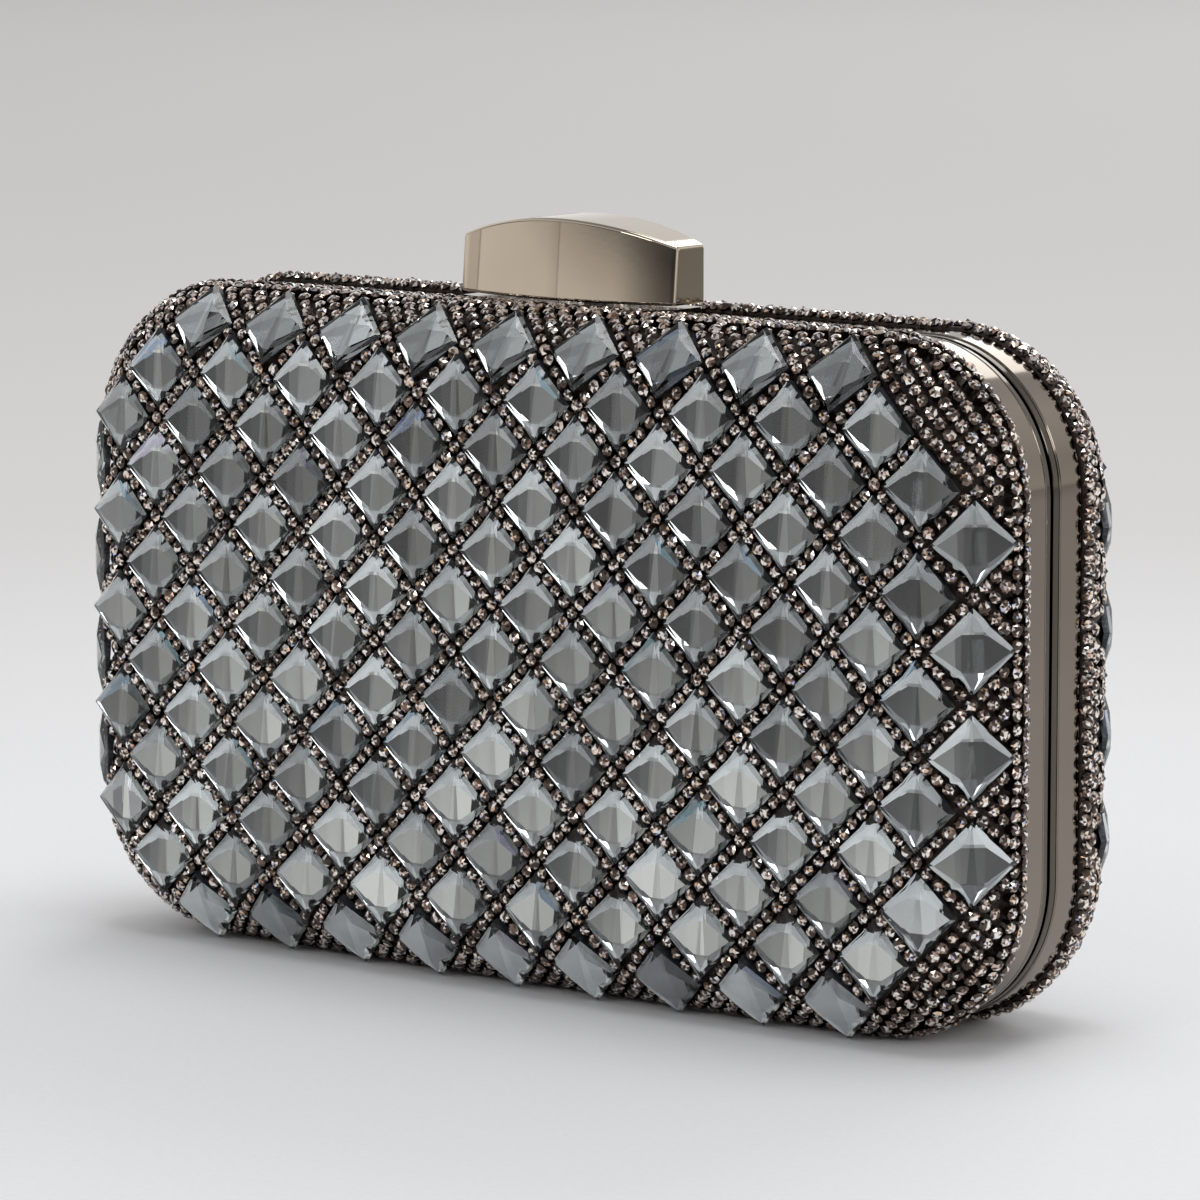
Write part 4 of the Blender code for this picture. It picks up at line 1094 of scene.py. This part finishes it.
class CLUTCH_OT_linings(Operator):
    """Cover the trays inside both halves with satin"""
    bl_idname = "clutch.linings"
    bl_label = "Linings"

    def execute(self, context):
        cloth = satin(context.scene.clutch_lining.satin_colour)
        for side, half in HALVES:
            self.line_tray(side, half, cloth)
        return {"FINISHED"}

    def line_tray(self, side, half, cloth):
        """Creased cloth with a rounded lip, cut off at the seam and opened for the latch"""
        outer = -3.6 * MM
        slack = 0.8 * MM
        rim = 0.5 * MM

        def offset(u, v):
            ease = min(1.0, max(0.0, 1.2 - hypot(u / RING_HALF_WIDTH, v / RING_HALF_HEIGHT)))
            creases = noise.noise(Vector((u * 45, v * 26, side))) + 0.4 * noise.noise(
                Vector((u * 130, v * 90, side)))
            return outer - slack * ease * (0.5 + 0.5 * creases)

        bm = wrapped_sheet(side, (60, 36, 10), offset, rim)
        clear_latch_room(bm, side)
        piece = finish_mesh(bm, f"{half}_satin", [cloth], 60)
        thicken(piece, 0.9 * MM, even=True)
        lip = piece.modifiers.new("lip", "BEVEL")
        lip.width = 0.3 * MM
        lip.segments = 3
        lip.limit_method = "ANGLE"
        lip.angle_limit = radians(60)
        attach(piece, f"{half}_half")
        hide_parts(f"{half}_lining")


# Stage

class CLUTCH_OT_stage(Operator):
    """Lay the pale tabletop and set the camera, the lamps and the surroundings"""
    bl_idname = "clutch.stage"
    bl_label = "Stage"

    def execute(self, context):
        settings = context.scene.clutch_stage
        bm = bmesh.new()
        bmesh.ops.create_circle(bm, cap_ends=True, segments=64, radius=9.0)
        table = finish_mesh(bm, "tabletop", [table_cloth(settings.table_colour)])
        self.place_camera(context)
        self.hang_lamps(context, settings)
        self.paint_surroundings(context, settings)
        context.scene.view_settings.view_transform = "Standard"
        return {"FINISHED"}

    def place_camera(self, context):
        """Camera of the photograph: turned to the right, slightly from above"""
        yaw = 0.6731
        pitch = 0.1408
        shift_right = 3.0517 * MM
        shift_up = 6.5449 * MM
        distance = 1078.9708 * MM
        forward = Vector((-sin(yaw) * cos(pitch), cos(yaw) * cos(pitch), -sin(pitch)))
        right = Vector((cos(yaw), sin(yaw), 0.0))
        up = right.cross(forward)
        place = Vector((0.0, 0.0, RING_CENTRE_Z)) + (
            right * shift_right + up * shift_up - forward * distance)
        data = bpy.data.cameras.new("camera")
        data.sensor_width = 36.0
        data.lens = 191.03
        data.clip_start = 0.05
        data.clip_end = 50.0
        camera = bpy.data.objects.new("camera", data)
        turn = Matrix((right, up, -forward)).transposed().to_4x4()
        camera.matrix_world = Matrix.Translation(place) @ turn
        context.scene.collection.objects.link(camera)
        context.scene.camera = camera

    def hang_lamps(self, context, settings):
        """Square softboxes: name, place, size and share of the key power"""
        aim = Vector((0.0, 0.0, RING_CENTRE_Z))
        lamps = (("key", (0.15, 0.1, 1.7), 0.9, 0.8),
                 ("front", (-0.15, -1.25, 0.75), 0.26, 0.08),
                 ("right", (0.9, -0.75, 0.6), 0.26, 0.06),
                 ("back", (-1.0, 3.5, 2.5), 2.0, 2.6))
        for name, place, size, share in lamps:
            data = bpy.data.lights.new(name, "AREA")
            data.shape = "SQUARE"
            data.size = size
            data.energy = settings.key_power * share
            lamp = bpy.data.objects.new(name, data)
            lamp.location = place
            lamp.rotation_mode = "QUATERNION"
            lamp.rotation_quaternion = (aim - Vector(place)).to_track_quat("-Z", "Y")
            context.scene.collection.objects.link(lamp)

    def paint_surroundings(self, context, settings):
        """Soft sky that is darker in front, where the polished faces mirror it"""
        world = bpy.data.worlds.new("surroundings")
        world.use_nodes = True
        context.scene.world = world
        tree = world.node_tree
        background = tree.nodes["Background"]
        background.inputs["Strength"].default_value = settings.sky_strength
        direction = tree.nodes.new("ShaderNodeTexCoord").outputs["Generated"]
        split = tree.nodes.new("ShaderNodeSeparateXYZ")
        tree.links.new(direction, split.inputs["Vector"])
        height = split.outputs["Z"]

        def facing(way):
            node = tree.nodes.new("ShaderNodeVectorMath")
            node.operation = "DOT_PRODUCT"
            node.inputs[1].default_value = way
            tree.links.new(direction, node.inputs[0])
            return node.outputs["Value"]

        def ease(value, begin, end):
            return remap(tree, value, "SMOOTHSTEP", From_Min=begin, From_Max=end)

        colour = ramp(tree, height, [
            (0.0, (1.10, 1.08, 1.05)), (0.2, (0.95, 0.94, 0.93)), (0.5, (1.15, 1.15, 1.15)),
            (0.68, (0.62, 0.62, 0.62)), (0.9, (0.36, 0.36, 0.37))])
        # Darker by height: the whole front, what the clasp bar mirrors, and what is beside it
        ahead = facing((0.34, -0.94, 0.0))
        regions = (
            (ease(split.outputs["Y"], 0.1, -0.4), (
                (0.0, (0.95, 0.93, 0.90)), (0.04, (0.90, 0.88, 0.85)), (0.08, (0.36, 0.35, 0.34)),
                (0.28, (0.36, 0.36, 0.36)), (0.5, (1.0, 1.0, 1.0)))),
            (ease(ahead, 0.78, 0.97), (
                (0.0, (0.10, 0.095, 0.09)), (0.07, (0.12, 0.12, 0.12)), (0.10, (0.9, 0.9, 0.9)))),
            (ease(ahead, 0.56, 0.74), (
                (0.06, (1.0, 1.0, 1.0)), (0.10, (0.25, 0.25, 0.26)), (0.3, (0.32, 0.32, 0.34)),
                (0.5, (0.85, 0.86, 0.88)))))
        for share, stops in regions:
            colour = multiply(tree, colour, ramp(tree, height, stops), share)
        # Thin upright dark bands for the metal to mirror: their azimuth and the stops across
        full = (1.0, 1.0, 1.0)
        bands = ((-37.0, ((0.1, full), (0.4, (0.90, 0.89, 0.88)), (0.47, (0.88, 0.87, 0.86)),
                          (0.5, (0.5, 0.48, 0.46)), (0.53, full))),
                 (-70.8, ((0.0, full), (0.1, (0.78, 0.77, 0.76)), (0.46, (0.80, 0.79, 0.78)),
                          (0.5, (0.36, 0.34, 0.32)), (0.54, full))))
        for azimuth, stops in bands:
            across = facing((cos(radians(azimuth)), sin(radians(azimuth)), 0.0))
            reach = remap(tree, across, From_Min=-0.1, From_Max=0.1)
            colour = multiply(tree, colour, ramp(tree, reach, stops))
        tree.links.new(colour, background.inputs["Color"])


class CLUTCH_PT_panel(Panel):
    """Buttons that build the bag's pieces one by one"""
    bl_idname = "CLUTCH_PT_panel"
    bl_label = "Clutch Bag"
    bl_space_type = "VIEW_3D"
    bl_region_type = "UI"
    bl_category = "Clutch"

    def draw(self, context):
        layout = self.layout
        for group in SETTINGS:
            settings = getattr(context.scene, group)
            column = layout.column()
            for name in settings.bl_rna.properties.keys():
                if name not in ("rna_type", "name"):
                    column.prop(settings, name)
        for operator in OPERATORS:
            layout.operator(operator.bl_idname)


OPERATORS = (CLUTCH_OT_frame_strips, CLUTCH_OT_rhinestones, CLUTCH_OT_crystals, CLUTCH_OT_clasp_bar,
             CLUTCH_OT_fittings, CLUTCH_OT_linings, CLUTCH_OT_stage)
SETTINGS = {"clutch_metal": MetalSettings, "clutch_stones": StoneSettings,
            "clutch_lining": LiningSettings, "clutch_stage": StageSettings}
CLASSES = (*SETTINGS.values(), *OPERATORS, CLUTCH_PT_panel)


def register():
    for item in CLASSES:
        bpy.utils.register_class(item)
    for name, group in SETTINGS.items():
        setattr(bpy.types.Scene, name, PointerProperty(type=group))


def unregister():
    for name in SETTINGS:
        delattr(bpy.types.Scene, name)
    for item in reversed(CLASSES):
        bpy.utils.unregister_class(item)


def main():
    register()
    for operator in OPERATORS:
        group, name = operator.bl_idname.split(".")
        getattr(getattr(bpy.ops, group), name)()


if __name__ == "__main__":
    main()
